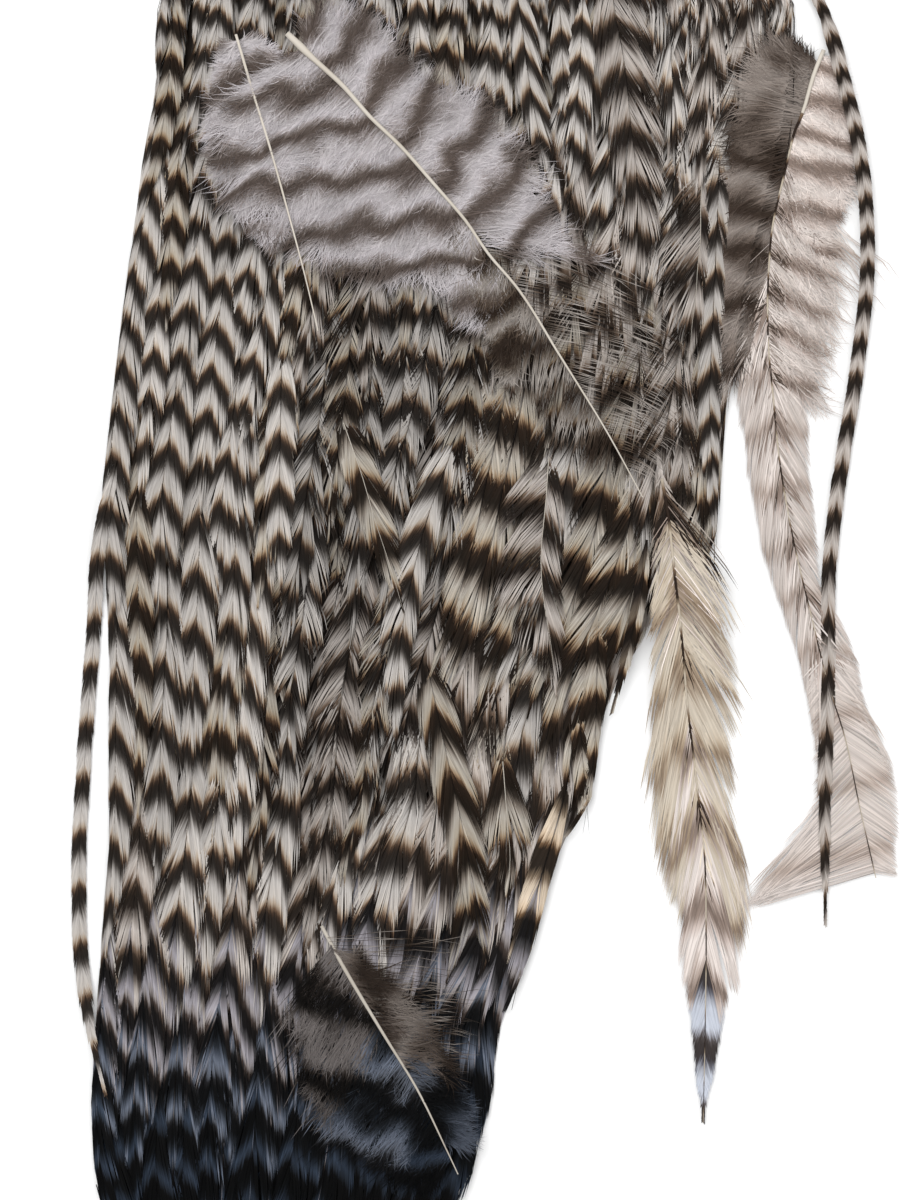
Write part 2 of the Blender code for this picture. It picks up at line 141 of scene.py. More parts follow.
# One period of each class: (place in the period, colour as shown on screen). A class that names no colour
# at 1 closes with its first one.
BAR_COLOURS = {
    "crisp": [(0.0, (112, 107, 103)), (0.06, (150, 145, 141)), (0.16, (182, 177, 173)),
        (0.38, (188, 181, 174)), (0.47, (168, 152, 135)), (0.54, (108, 86, 68)), (0.6, (60, 46, 36)),
        (0.67, (38, 31, 26)), (0.84, (36, 32, 29)), (0.93, (64, 59, 55))],
    "warm": [(0.0, (104, 95, 86)), (0.07, (144, 135, 125)), (0.18, (178, 171, 161)),
        (0.36, (178, 167, 151)), (0.45, (152, 129, 103)), (0.51, (88, 66, 48)), (0.58, (38, 27, 19)),
        (0.84, (28, 22, 16)), (0.93, (52, 45, 39))],
    "soft": [(0.0, (108, 100, 94)), (0.08, (146, 138, 132)), (0.22, (186, 178, 172)),
        (0.4, (174, 163, 154)), (0.5, (112, 93, 78)), (0.6, (50, 39, 31)), (0.72, (32, 26, 21)),
        (0.88, (38, 31, 27)), (1.0, (104, 96, 90))],
    # The next three classes are painted shadow: the bars as they look in the shade over the pelt's lower end,
    # bluer and darker step by step.
    "half_shade": [(0.0, (80, 77, 79)), (0.1, (122, 118, 123)), (0.25, (156, 152, 158)), (0.38, (142, 135, 134)),
        (0.48, (64, 54, 49)), (0.6, (20, 17, 16)), (0.84, (20, 18, 19)), (1.0, (76, 74, 76))],
    "shadow": [(0.0, (36, 40, 46)), (0.1, (66, 72, 83)), (0.25, (103, 110, 124)), (0.38, (86, 90, 99)),
        (0.48, (30, 30, 32)), (0.6, (7, 7, 8)), (0.84, (7, 8, 10))],
    "deep_shadow": [(0.0, (12, 15, 19)), (0.12, (34, 41, 51)), (0.26, (52, 62, 77)), (0.4, (38, 44, 53)),
        (0.5, (9, 9, 10)), (0.62, (3, 3, 4)), (0.84, (3, 4, 5))],
    # The next class is painted shade: a muted, darker brown copy of the warm bars.
    "umber": [(0.0, (58, 50, 44)), (0.15, (90, 80, 70)), (0.32, (104, 92, 78)), (0.46, (60, 44, 33)),
        (0.6, (26, 20, 16)), (0.84, (27, 22, 19))],
    "fluff": [(0.0, (44, 37, 32)), (0.5, (34, 28, 24))],
    "cream": [(0.0, (120, 104, 87)), (0.1, (196, 180, 160)), (0.3, (220, 203, 182)),
        (0.42, (206, 183, 156)), (0.5, (110, 85, 62)), (0.58, (44, 35, 27)), (0.86, (42, 35, 29))],
    "midrib": [(0.0, (50, 44, 40)), (0.1, (84, 78, 73)), (0.24, (150, 144, 138)), (0.4, (120, 106, 90)),
        (0.5, (44, 33, 25)), (0.6, (22, 17, 14)), (0.88, (22, 18, 16))],
    "pale": [(0.0, (194, 182, 166)), (0.3, (204, 193, 177)), (0.48, (198, 184, 165)),
        (0.62, (166, 148, 127)), (0.74, (142, 123, 104)), (0.86, (164, 148, 130))],
    "slate": [(0.0, (150, 152, 161)), (0.12, (188, 193, 204)), (0.36, (194, 199, 210)),
        (0.45, (156, 157, 165)), (0.52, (84, 78, 78)), (0.6, (58, 52, 50)), (0.82, (56, 51, 52)),
        (0.91, (96, 96, 104))],
    "down": [(0.0, (150, 142, 140)), (0.14, (188, 182, 183)), (0.38, (202, 196, 199)),
        (0.5, (164, 155, 153)), (0.62, (108, 97, 91)), (0.74, (84, 73, 67)), (0.86, (102, 91, 86))],
    "web": [(0.0, (88, 78, 69)), (0.2, (134, 126, 119)), (0.4, (156, 149, 143)), (0.55, (92, 79, 68)),
        (0.7, (42, 32, 25)), (0.86, (48, 38, 31))],
    "blush": [(0.0, (206, 190, 182)), (0.2, (236, 226, 220)), (0.48, (234, 222, 215)),
        (0.6, (190, 173, 163)), (0.72, (140, 123, 113)), (0.85, (148, 131, 121))],
    "smoke": [(0.0, (102, 91, 84)), (0.22, (150, 140, 133)), (0.46, (114, 102, 94)), (0.68, (58, 48, 41)),
        (0.86, (62, 51, 44))],
    "veil": [(0.0, (216, 206, 200)), (0.5, (212, 201, 194)), (0.66, (192, 178, 169)),
        (0.74, (176, 160, 150)), (0.84, (198, 185, 177))],
    "dash": [(0.0, (190, 177, 158)), (0.34, (200, 189, 172)), (0.46, (120, 98, 78)), (0.56, (46, 36, 30)),
        (0.86, (50, 39, 32)), (0.95, (140, 124, 104))],
    # The next class is painted shade: the down's grey bars darkened.
    "shaded_grey": [(0.0, (60, 55, 52)), (0.18, (108, 102, 100)), (0.42, (118, 112, 110)), (0.54, (56, 49, 45)),
        (0.66, (14, 11, 9)), (0.88, (14, 11, 9))],
    "shaft": [(0.0, (216, 208, 196)), (0.5, (206, 197, 184))],
}
CLASS_NAMES = list(BAR_COLOURS)

# The skin's colours, the scales of its patches and its grain, and the grain's depth in metres.
SKIN_COLOURS = [(0.3, (148, 118, 82)), (0.5, (196, 168, 128)), (0.72, (222, 200, 166))]
SKIN_PATCHES = 45
SKIN_GRAIN = 1400
SKIN_DEPTH = 0.0002


# Curves and surfaces

def along(table, at):
    """Values of a table of (y, value) points at these heights, read down the coat."""
    return np.interp(-np.asarray(at, float), -table[:, 0], table[:, 1])


def read_down(outline):
    """Outline points (x, y) as a table of (y, x)."""
    return np.array(outline, float)[:, ::-1]


LEFT_LINE, RIGHT_LINE, BODY_LINE = map(read_down, (FLOW_LEFT, FLOW_RIGHT, BODY_RIGHT))
LEFT_EDGE, RIGHT_EDGE = map(read_down, (COAT_LEFT, COAT_RIGHT))
SKIRT_LINES = tuple(map(read_down, (SKIRT_LEFT, SKIRT_RIGHT)))
CROWN_LINE = np.array(COAT_CROWN, float)


def coat_top(x, y):
    """The height of the laid feathers' top at this place."""
    left, right = along(LEFT_LINE, y), along(BODY_LINE, y)
    edge = np.minimum(1, np.abs(2 * x - left - right) / (right - left))
    crown = along(CROWN_LINE, y) + COAT_TOP_RISE
    return COAT_RIM + (crown - COAT_RIM) * (1 - edge ** COAT_ROUNDNESS) ** COAT_FULLNESS


def ground(x, y):
    """The top of the coat, or the surface that the pelt lies on beside it."""
    inside = (x > along(LEFT_EDGE, y) + 1) & (x < along(RIGHT_EDGE, y) + 0.8)
    inside &= (y > COAT_SPAN[0]) & (y < COAT_SPAN[1])
    return np.where(inside, np.maximum(coat_top(x, y), COAT_LEAST), BESIDE_COAT)


def level(x, y):
    """A flat surface, for the hackles of the underside to follow."""
    return np.zeros_like(x)


def flow_x(u, y, lines=(LEFT_LINE, RIGHT_LINE)):
    """The x of the flow line u, from -1 at the left outline to 1 at the right one."""
    left, right = along(lines[0], y), along(lines[1], y)
    return left + (right - left) * 0.5 * (1 + u)


def skirt_x(u, y):
    """The same for the hackles that end beside the coat's right step."""
    return flow_x(u, y, SKIRT_LINES)


class Bars:
    """Counts bars: at each height, how many of them lie above it."""

    def __init__(self, heights, counts):
        self.heights, self.counts = heights, counts
        self.periods = -np.gradient(heights, counts)

    def phase(self, y):
        return np.interp(-np.asarray(y, float), -self.heights, self.counts)

    def period(self, y):
        return np.interp(-np.asarray(y, float), -self.heights, self.periods)


def bars_spaced(periods, dark_y):
    """Bars from the distances between them at each height, and the height of one dark bar."""
    heights = np.linspace(95, -262, 358)
    gaps = along(np.array(periods, float), heights)
    steps = (heights[:-1] - heights[1:]) / (0.5 * (gaps[1:] + gaps[:-1]))
    counts = np.concatenate([[0], np.cumsum(steps)])
    return Bars(heights, counts - np.interp(-dark_y, -heights, counts) + DARK_PHASE)


def bars_at(dark):
    """Bars whose dark ones cross the shaft at these heights, going on evenly past both ends."""
    dark = np.array(dark, float)
    before = dark[0] + (dark[0] - dark[1]) * np.arange(9, 0, -1)
    after = dark[-1] - (dark[-2] - dark[-1]) * np.arange(1, 10)
    heights = np.concatenate([before, dark, after])
    return Bars(heights, np.arange(len(heights)) + DARK_PHASE)


def lengths_to(points):
    """The length along a line up to each of its points."""
    return np.concatenate([[0.0], np.cumsum(np.linalg.norm(np.diff(points, axis=0), axis=1))])


def smooth_through(points, fractions):
    """Points at these fractions of the length of a smooth curve through the given points."""
    points = np.asarray(points, float)
    reach = lengths_to(points)
    slopes = np.gradient(points, reach, axis=0)
    at = np.asarray(fractions) * reach[-1]
    left = np.clip(np.searchsorted(reach, at, side="right") - 1, 0, len(points) - 2)
    span = (reach[left + 1] - reach[left])[:, None]
    t = ((at - reach[left])[:, None]) / span
    start = (1 + 2 * t) * (1 - t) ** 2 * points[left] + t * (1 - t) ** 2 * span * slopes[left]
    end = t * t * (3 - 2 * t) * points[left + 1] - t * t * (1 - t) * span * slopes[left + 1]
    return start + end


class Shaft:
    """The line of one feather's rachis, read by the length along it. It runs on straight past both ends."""

    beyond = 12

    def __init__(self, points):
        points = np.asarray(points, float)
        s = lengths_to(points)
        self.length = s[-1]
        before, after = points[0] - points[1], points[-1] - points[-2]
        before = points[0] + self.beyond * before / np.linalg.norm(before) * (1, 1, 0)
        after = points[-1] + self.beyond * after / np.linalg.norm(after)
        self.points = np.vstack([before, points, after])
        self.s = np.concatenate([[-self.beyond], s, [self.length + self.beyond]])
        tangent = np.gradient(self.points, self.s, axis=0)
        flat = np.column_stack([-tangent[:, 1], tangent[:, 0]])
        self.side = flat / np.linalg.norm(flat, axis=1)[:, None]

    def at(self, s):
        return np.stack([np.interp(s, self.s, self.points[:, i]) for i in range(3)], axis=-1)

    def across(self, s):
        side = np.stack([np.interp(s, self.s, self.side[:, i]) for i in range(2)], axis=-1)
        return side / np.linalg.norm(side, axis=-1, keepdims=True)


# Ribbons and tubes gathered into one mesh

def rows_of(kind, tones):
    """Row numbers of the swatch sheet for barbs of one class, from tones of 0 to 1."""
    first = CLASS_NAMES.index(kind) * ROWS_EACH
    return first + np.clip(np.round(np.asarray(tones) * (ROWS_EACH - 3)) + 1, 1, ROWS_EACH - 2)


def ring_faces(stations, sides):
    """Four-sided faces between neighbouring rings of points."""
    here = (sides * np.arange(stations - 1))[:, None, None]
    at = np.arange(sides)[None, :, None]
    beside = (at + 1) % sides
    corners = [here + at, here + beside, here + sides + beside, here + sides + at]
    return np.concatenate(corners, axis=2).reshape(-1, 4)


class Piece:
    """Collects ribbons and tubes, then makes them one mesh object."""

    def __init__(self, name):
        self.name = name
        self.points, self.corners, self.starts, self.uvs = [], [], [], []
        self.count = 0
        self.corner_count = 0

    def add(self, points, uvs, *faces):
        """Points with their places on the swatch sheet, and faces, one row of point numbers each."""
        points, uvs = points.reshape(-1, 3), uvs.reshape(-1, 2)
        for group in faces:
            self.corners.append((group + self.count).ravel())
            self.starts.append(self.corner_count + group.shape[1] * np.arange(len(group)))
            self.uvs.append(uvs[group].reshape(-1, 2))
            self.corner_count += group.size
        self.points.append(points)
        self.count += len(points)

    def ribbons(self, lines, halves, phases, rows, tilts):
        """Tapered ribbons that end in a point. lines is (ribbon, station, xyz)."""
        amount, stations = phases.shape
        heading = np.gradient(lines, axis=1)
        heading /= np.maximum(np.linalg.norm(heading, axis=2, keepdims=True), 1e-9)
        flat = np.stack([heading[..., 1], -heading[..., 0], np.zeros_like(phases)], axis=-1)
        flat /= np.maximum(np.linalg.norm(flat, axis=2, keepdims=True), 1e-9)
        up = np.cross(flat, heading)
        lean = tilts[:, None, None]
        offset = (flat * np.cos(lean) + up * np.sin(lean)) * halves[..., None]
        end = 2 * (stations - 1)
        corners = np.empty((amount, end + 1, 3))
        corners[:, 0:end:2] = (lines - offset)[:, :-1]
        corners[:, 1:end:2] = (lines + offset)[:, :-1]
        corners[:, end] = lines[:, -1]
        base = PHASE_WRAP * np.floor(phases.min(axis=1) / PHASE_WRAP)
        u = (phases - base[:, None]) / PHASES
        uv = np.empty((amount, end + 1, 2))
        for edge, across in ((0, -ROW_HALF_WIDTH), (1, ROW_HALF_WIDTH)):
            uv[:, edge:end:2, 0] = u[:, :-1]
            uv[:, edge:end:2, 1] = ((rows + 0.5 + across) / ROWS)[:, None]
        uv[:, end, 0] = u[:, -1]
        uv[:, end, 1] = (rows + 0.5) / ROWS
        first = (end + 1) * np.arange(amount)[:, None, None]
        step = 2 * np.arange(stations - 2)[None, :, None]
        quads = (first + step + np.array([0, 1, 3, 2])).reshape(-1, 4)
        tips = (first[:, :, 0] + end + np.array([-2, -1, 0])).reshape(-1, 3)
        self.add(corners, uv, quads, tips)

    def tube(self, centres, radii, phases, row, sides):
        """A tapered tube along centres, capped at its start and open at its fine end."""
        stations = len(centres)
        heading = np.gradient(centres, axis=0)
        heading /= np.linalg.norm(heading, axis=1, keepdims=True)
        flat = np.column_stack([heading[:, 1], -heading[:, 0], np.zeros(stations)])
        flat /= np.linalg.norm(flat, axis=1, keepdims=True)
        up = np.cross(flat, heading)
        turn = 2 * np.pi * (np.arange(sides) + 0.5) / sides
        ring = np.cos(turn)[None, :, None] * flat[:, None] + np.sin(turn)[None, :, None] * up[:, None]
        corners = centres[:, None] + ring * radii[:, None, None]
        u = (phases - PHASE_WRAP * math.floor(phases.min() / PHASE_WRAP)) / PHASES
        band = (row + 0.5 + ROW_HALF_WIDTH * np.sin(turn)) / ROWS
        uv = np.stack(np.broadcast_arrays(u[:, None], band[None, :]), axis=-1)
        self.add(corners, uv, ring_faces(stations, sides), np.arange(sides)[None, ::-1])

    def make(self, material):
        """The mesh object, riding on the pelt."""
        mesh = bpy.data.meshes.new(self.name)
        points = np.concatenate(self.points) * MM
        corners = np.concatenate(self.corners)
        starts = np.concatenate(self.starts)
        mesh.vertices.add(len(points))
        mesh.vertices.foreach_set("co", points.ravel())
        mesh.loops.add(len(corners))
        mesh.loops.foreach_set("vertex_index", corners)
        mesh.polygons.add(len(starts))
        mesh.polygons.foreach_set("loop_start", starts)
        uvs = np.concatenate(self.uvs).ravel()
        for name in ("pattern", "OFBake"):
            layer = mesh.uv_layers.new(name=name)
            layer.uv.foreach_set("vector", uvs)
        mesh.update(calc_edges=True)
        mesh.validate()
        mesh.shade_smooth()
        mesh.materials.append(material)
        piece = bpy.data.objects.new(self.name, mesh)
        bpy.context.scene.collection.objects.link(piece)
        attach(piece, "root")
        return piece


# Barbs

def barbs(piece, shaft, side, roots, reach, width, paint, rng, ribbon=0.34, stations=4, power=1.5, tilt=0.2,
          wave=0.0, waves=2.0, lift=0.06, camber=0.35, full_width=3.0, air=0.0, roll=0.0, over=None):
    """One side of a feather's vane. Each barb leaves the shaft at roots and ends width from it, reach on.
    wave bends the barbs, air lifts their middles and roll tips the vane. The coat's barbs follow a surface,
    over, down from the shaft and are kept in the coat. Others stay above the ground."""
    amount = len(roots)
    if amount == 0:
        return
    t = BARB_PLACES if stations == len(BARB_PLACES) else np.linspace(0, 1, stations)
    taper = np.interp(t, *BARB_TAPER)
    t = np.broadcast_to(t, (amount, len(t)))
    s = roots[:, None] + reach[:, None] * t
    lateral = width[:, None] * (1 - (1 - t) ** power)
    lines = shaft.at(s)
    start = lines.copy()
    across = shaft.across(s)
    if wave:
        onward = np.stack([across[..., 1], -across[..., 0]], axis=-1)
        swing = np.sin(2 * np.pi * (waves * t + rng.random((amount, 1)))) * wave * t
        swing = swing * rng.normal(1, 0.3, (amount, 1))
        lateral = lateral + swing * 0.5
        lines[..., :2] += onward * swing[..., None]
    lines[..., :2] += across * (side * lateral)[..., None]
    raised = rng.normal(0, lift, (amount, 1)) - camber * (lateral / full_width) ** 2
    lines[..., 2] += raised + roll * side * lateral
    if over is None:
        least = ground(lines[..., 0], lines[..., 1]) + np.abs(rng.normal(0, lift, (amount, 1)))
        least = least + BARB_CLEARANCE
        lines[..., 2] = np.maximum(lines[..., 2], least)
    else:
        kept_inside(lines, rng)
        lines[..., 2] += over(lines[..., 0], lines[..., 1]) - over(start[..., 0], start[..., 1])
        lines[..., 2] = np.maximum(lines[..., 2], LOWEST_BARB)
    if air:
        lines[..., 2] += air * rng.random((amount, 1)) * np.sin(np.pi * np.clip(t, 0, 1)) ** 0.5
    halves = 0.5 * ribbon * taper * rng.uniform(0.8, 1.2, (amount, 1))
    tilts = rng.normal(side * 0.1, tilt, amount)
    phases, rows = paint(shaft, s, lateral, roots)
    piece.ribbons(lines, halves, phases, rows, tilts)


def ripple(x, y, size=9.0):
    """A smooth unevenness of about -1 to 1 over the pelt, with bumps of about this size."""
    k = 2 * np.pi / size
    first = np.sin(k * (0.82 * x + 0.31 * y) + 1.7 * np.sin(0.43 * k * y + 0.6))
    second = np.sin(k * (0.27 * x - 0.71 * y) + 1.4 * np.sin(0.37 * k * x + 2.2))
    return 0.5 * (first + second)


def clumped(ends, rng, size, pull):
    """The barbs' far ends drawn together in clumps of about this many neighbours."""
    group = np.cumsum(rng.random(len(ends)) < 1 / size)
    middle = np.bincount(group, ends) / np.maximum(np.bincount(group), 1)
    return ends + pull * (middle[group] - ends), group


def spread(rng, start, stop, density):
    """Evenly jittered places between start and stop."""
    amount = max(2, int((stop - start) * density))
    return start + (np.arange(amount) + rng.uniform(0.1, 0.9, amount)) * (stop - start) / amount


# Materials

def screen_to_linear(colour):
    """A colour of 0 to 255 as shown on screen, as the shader's linear one."""
    values = np.array(colour, float) / 255
    return tuple(np.where(values <= 0.04045, values / 12.92, ((values + 0.055) / 1.055) ** 2.4)) + (1.0,)


class Nodes:
    """Short ways to add shader nodes to one material."""

    def __init__(self, name, roughness):
        self.material = bpy.data.materials.new(name)
        self.material.use_nodes = True
        self.tree = self.material.node_tree
        self.shader = self.tree.nodes["Principled BSDF"]
        self.shader.inputs["Roughness"].default_value = roughness
        self.shader.inputs["Specular IOR Level"].default_value = 0.05

    def new(self, kind, **settings):
        node = self.tree.nodes.new(kind)
        for key, value in settings.items():
            setattr(node, key, value)
        return node

    def link(self, source, target):
        self.tree.links.new(source, target)

    def math(self, operation, a, b=None, c=None):
        node = self.new("ShaderNodeMath", operation=operation)
        for socket, value in zip(node.inputs, (a, b, c)):
            if value is None:
                continue
            if isinstance(value, (int, float)):
                socket.default_value = value
            else:
                self.link(value, socket)
        return node.outputs[0]

    def mix(self, factor, a, b, blend="MIX"):
        node = self.new("ShaderNodeMix", data_type="RGBA", blend_type=blend)
        for socket, value in ((node.inputs[0], factor), (node.inputs[6], a), (node.inputs[7], b)):
            if isinstance(value, (int, float, tuple)):
                socket.default_value = value
            else:
                self.link(value, socket)
        return node.outputs[2]

    def ramp(self, value, stops):
        node = self.new("ShaderNodeValToRGB")
        elements = node.color_ramp.elements
        while len(elements) < len(stops):
            elements.new(0.5)
        for element, (place, colour) in zip(elements, stops):
            element.position = place
            element.color = screen_to_linear(colour)
        self.link(value, node.inputs[0])
        return node.outputs["Color"]


def bar_stops(kind):
    """The colour stops of one whole period of a class."""
    stops = BAR_COLOURS[kind]
    return stops if stops[-1][0] == 1 else [*stops, (1.0, stops[0][1])]


def feather_material(name, kinds):
    """Bars, tones and barb to barb differences, all read from the piece's pattern map."""
    nodes = Nodes(name, FEATHER_ROUGHNESS)
    uv = nodes.new("ShaderNodeUVMap", uv_map="pattern")
    split = nodes.new("ShaderNodeSeparateXYZ")
    nodes.link(uv.outputs[0], split.inputs[0])
    row = nodes.math("FLOOR", nodes.math("MULTIPLY", split.outputs[1], ROWS))
    noise = nodes.new("ShaderNodeTexWhiteNoise", noise_dimensions="1D")
    nodes.link(nodes.math("ADD", row, 0.5), noise.inputs["W"])
    chance = nodes.new("ShaderNodeSeparateColor")
    nodes.link(noise.outputs["Color"], chance.inputs[0])
    shift = nodes.math("MULTIPLY_ADD", chance.outputs[0], BARB_SHIFT, -0.5 * BARB_SHIFT)
    phase = nodes.math("MULTIPLY_ADD", split.outputs[0], PHASES, 1)
    place = nodes.math("FRACT", nodes.math("ADD", phase, shift))
    family = nodes.math("MULTIPLY", split.outputs[1], CLASSES)
    colour = nodes.ramp(place, bar_stops(kinds[0]))
    for kind in kinds[1:]:
        chosen = nodes.math("COMPARE", family, CLASS_NAMES.index(kind) + 0.5, 0.5)
        colour = nodes.mix(chosen, colour, nodes.ramp(place, bar_stops(kind)))
    tone = nodes.math("FRACT", family)
    brightness = nodes.math("MULTIPLY_ADD", tone, TONE_RANGE, MIDDLE_GAIN - 0.5 * TONE_RANGE)
    flicker = nodes.math("MULTIPLY_ADD", chance.outputs[1], BARB_FLICKER, 1 - 0.5 * BARB_FLICKER)
    gain = nodes.math("MULTIPLY", brightness, flicker)
    grey = nodes.new("ShaderNodeCombineColor")
    for socket in grey.inputs[:3]:
        nodes.link(gain, socket)
    colour = nodes.mix(1.0, colour, grey.outputs[0], "MULTIPLY")
    nodes.link(colour, nodes.shader.inputs["Base Color"])
    mottle = nodes.new("ShaderNodeTexNoise")
    mottle.inputs["Scale"].default_value = MOTTLE_SCALE
    rough = nodes.math("MULTIPLY_ADD", mottle.outputs[0], MOTTLE_DEPTH, FEATHER_ROUGHNESS - 0.12)
    nodes.link(rough, nodes.shader.inputs["Roughness"])
    return nodes.material


def skin_material():
    """Dried parchment skin with a fine grain and darker oil patches."""
    nodes = Nodes("dried_skin", 0.55)
    place = nodes.new("ShaderNodeTexCoord")
    patches = nodes.new("ShaderNodeTexNoise")
    patches.inputs["Scale"].default_value = SKIN_PATCHES
    patches.inputs["Detail"].default_value = 6
    nodes.link(place.outputs["Object"], patches.inputs["Vector"])
    colour = nodes.ramp(patches.outputs[0], SKIN_COLOURS)
    nodes.link(colour, nodes.shader.inputs["Base Color"])
    grain = nodes.new("ShaderNodeTexNoise")
    grain.inputs["Scale"].default_value = SKIN_GRAIN
    nodes.link(place.outputs["Object"], grain.inputs["Vector"])
    bump = nodes.new("ShaderNodeBump")
    bump.inputs["Strength"].default_value = 0.25
    bump.inputs["Distance"].default_value = SKIN_DEPTH
    nodes.link(grain.outputs[0], bump.inputs["Height"])
    nodes.link(bump.outputs[0], nodes.shader.inputs["Normal"])
    return nodes.material


# The coat's hackles

# How each region's hackles are made. In order: half widths to the left and right of the shaft, the barbs'
# angle in degrees, barbs per millimetre of shaft, ribbon width, barbs in a clump and how far they draw
# together, slope of the bars, how unlike its clumps are, how much barbs differ in tone and in reach, roll of
# the vane, tone, share of the length that tapers, size of the rachis, and bar classes to draw from.
STYLE_FACTS = (
    "widths", "angle", "density", "ribbon", "clump", "pull", "slope", "unlike", "barb_tone", "ragged", "roll",
    "tone", "taper", "rib_size", "kinds",
)
STYLE_ROWS = {
    "neat": ((3.4, 4.2), 12, 2.0, 0.32, 8, 0.35, (1.15, 1.4), 0.06, 0.06, 0.06, 0.14, 0.52, 0.25, 0.5,
             ("crisp", "crisp", "crisp", "warm")),
    "small": ((2.3, 2.9), 12, 2.0, 0.29, 7, 0.3, 1.05, 0.06, 0.06, 0.06, 0.12, 0.48, 0.35, 0.5,
              ("crisp", "warm", "crisp")),
    "mixed": ((4.5, 4.3), 21, 1.9, 0.27, 8, 0.45, 0.75, 0.1, 0.1, 0.08, 0.05, 0.21, 0.4, 1.0,
              ("warm", "crisp", "soft")),
    "open": ((7.2, 4.8), (27, 18), 1.8, 0.26, 7, 0.45, (0.35, 0.6), 0.1, 0.13, 0.08, -0.06, 0.33, 0.4, 1.0,
             ("warm", "soft", "soft")),
    "banded": ((5.4, 4.4), 15, 1.9, 0.28, 8, 0.4, 0.35, 0.04, 0.12, 0.06, -0.06, 0.42, 0.4, 1.0,
               ("warm", "warm", "crisp")),
    "broad": ((4.6, 4.8), 15, 1.8, 0.29, 8, 0.35, 1.0, 0.08, 0.1, 0.06, 0.05, 0.56, 0.35, 1.0,
              ("soft", "crisp", "soft")),
    "low": ((3.8, 4.6), 13, 1.8, 0.34, 7, 0.35, 1.15, 0.07, 0.08, 0.07, 0.12, 0.48, 0.3, 0.5,
            ("crisp", "soft")),
    "edge": ((3.3, 3.2), 9, 1.9, 0.34, 9, 0.25, 0.1, 0.02, 0.05, 0.04, 0.0, 0.52, 0.2, 1.0, ("cream",)),
}
STYLES = {name: dict(zip(STYLE_FACTS, row)) for name, row in STYLE_ROWS.items()}

# Where hackles that end at a height have their roots, and how far above it the one over them ends.
HACKLE_ROOTS = [(64, 85), (20, 60), (-25, 35), (-80, 10), (-125, -10), (-170, -30), (-215, -50), (-256, -66)]
VISIBLE_STEPS = [(90, 15), (50, 17), (20, 24), (-10, 36), (-60, 52), (-120, 66), (-256, 70)]
ROOT_LINE = np.array(HACKLE_ROOTS, float)
STEP_LINE = np.array(VISIBLE_STEPS, float)

# Where the roots lie on the skin, where columns begin and end, the rachis of a hackle, how deep a hackle dips
# under the one over it, how much of its vane is made there, and how its barbs and bars bend.
ROOT_HEIGHT = 1.9
HEAD_END = 92.0
FIRST_TIPS = (58, 74)
LOWEST_TIP = -246
RIB_POINTS = 14
RIB_RADII = (0.24, 0.07)
RIB_RISE = 0.12
COVER_DEPTH = 3.2
COVER_RUN = 45
COVER_LEAD = 12
HIDDEN_VANE = 26
EDGE_SOFTNESS = 2.0
BAR_CURVE = 1.3

# Painted shadow over the lower end: heights from which the barbs turn half shaded, shadowed and nearly black,
# and how much sooner they do at the right.
SHADOW_FROM = {"half_shade": -164, "shadow": -181, "deep_shadow": -195}
SHADOW_BLUR = 2.2
SHADOW_RIGHT = 10
SHADOW_DEEPENING = 0.03


def hackle_width(fraction, taper):
    """The vane's width along a hackle: full for most of it, then a long taper to a point."""
    body = np.clip(fraction / 0.08, 0, 1) ** 0.6
    tip = np.clip((1 - fraction) / taper, 0, 1)
    return body * (1 - (1 - tip) ** 1.7)


def coat_rows(kind, tones, places, rng):
    """Row numbers for barbs of one coat feather, darker and bluer near the lower end, where painted shadow
    falls.
    """
    ys = places[:, 1] + rng.normal(0, SHADOW_BLUR, len(places))
    ys = ys - SHADOW_RIGHT * np.clip((places[:, 0] + 35) / 30, 0, 1)
    tones = np.clip(tones - SHADOW_DEEPENING * np.maximum(SHADOW_FROM["deep_shadow"] - ys, 0), 0, 1)
    rows = rows_of(kind, tones)
    for darker, start in SHADOW_FROM.items():
        rows = np.where(ys < start, rows_of(darker, tones), rows)
    return rows


def kept_inside(lines, rng):
    """Draws barbs that would pass the coat's sides back along them, as the outermost barbs lie."""
    y = lines[..., 1]
    slack = rng.uniform(-0.4, 0.5, (len(y), 1))
    left, right = along(LEFT_LINE, y) + slack, along(BODY_LINE, y) - slack
    past = np.maximum(lines[..., 0] - right + EDGE_SOFTNESS, 0)
    lines[..., 0] += EDGE_SOFTNESS * np.tanh(past / EDGE_SOFTNESS) - past
    past = np.maximum(left + EDGE_SOFTNESS - lines[..., 0], 0)
    lines[..., 0] += past - EDGE_SOFTNESS * np.tanh(past / EDGE_SOFTNESS)


def both(value):
    """A value for each side of the shaft."""
    return value if isinstance(value, tuple) else (value, value)


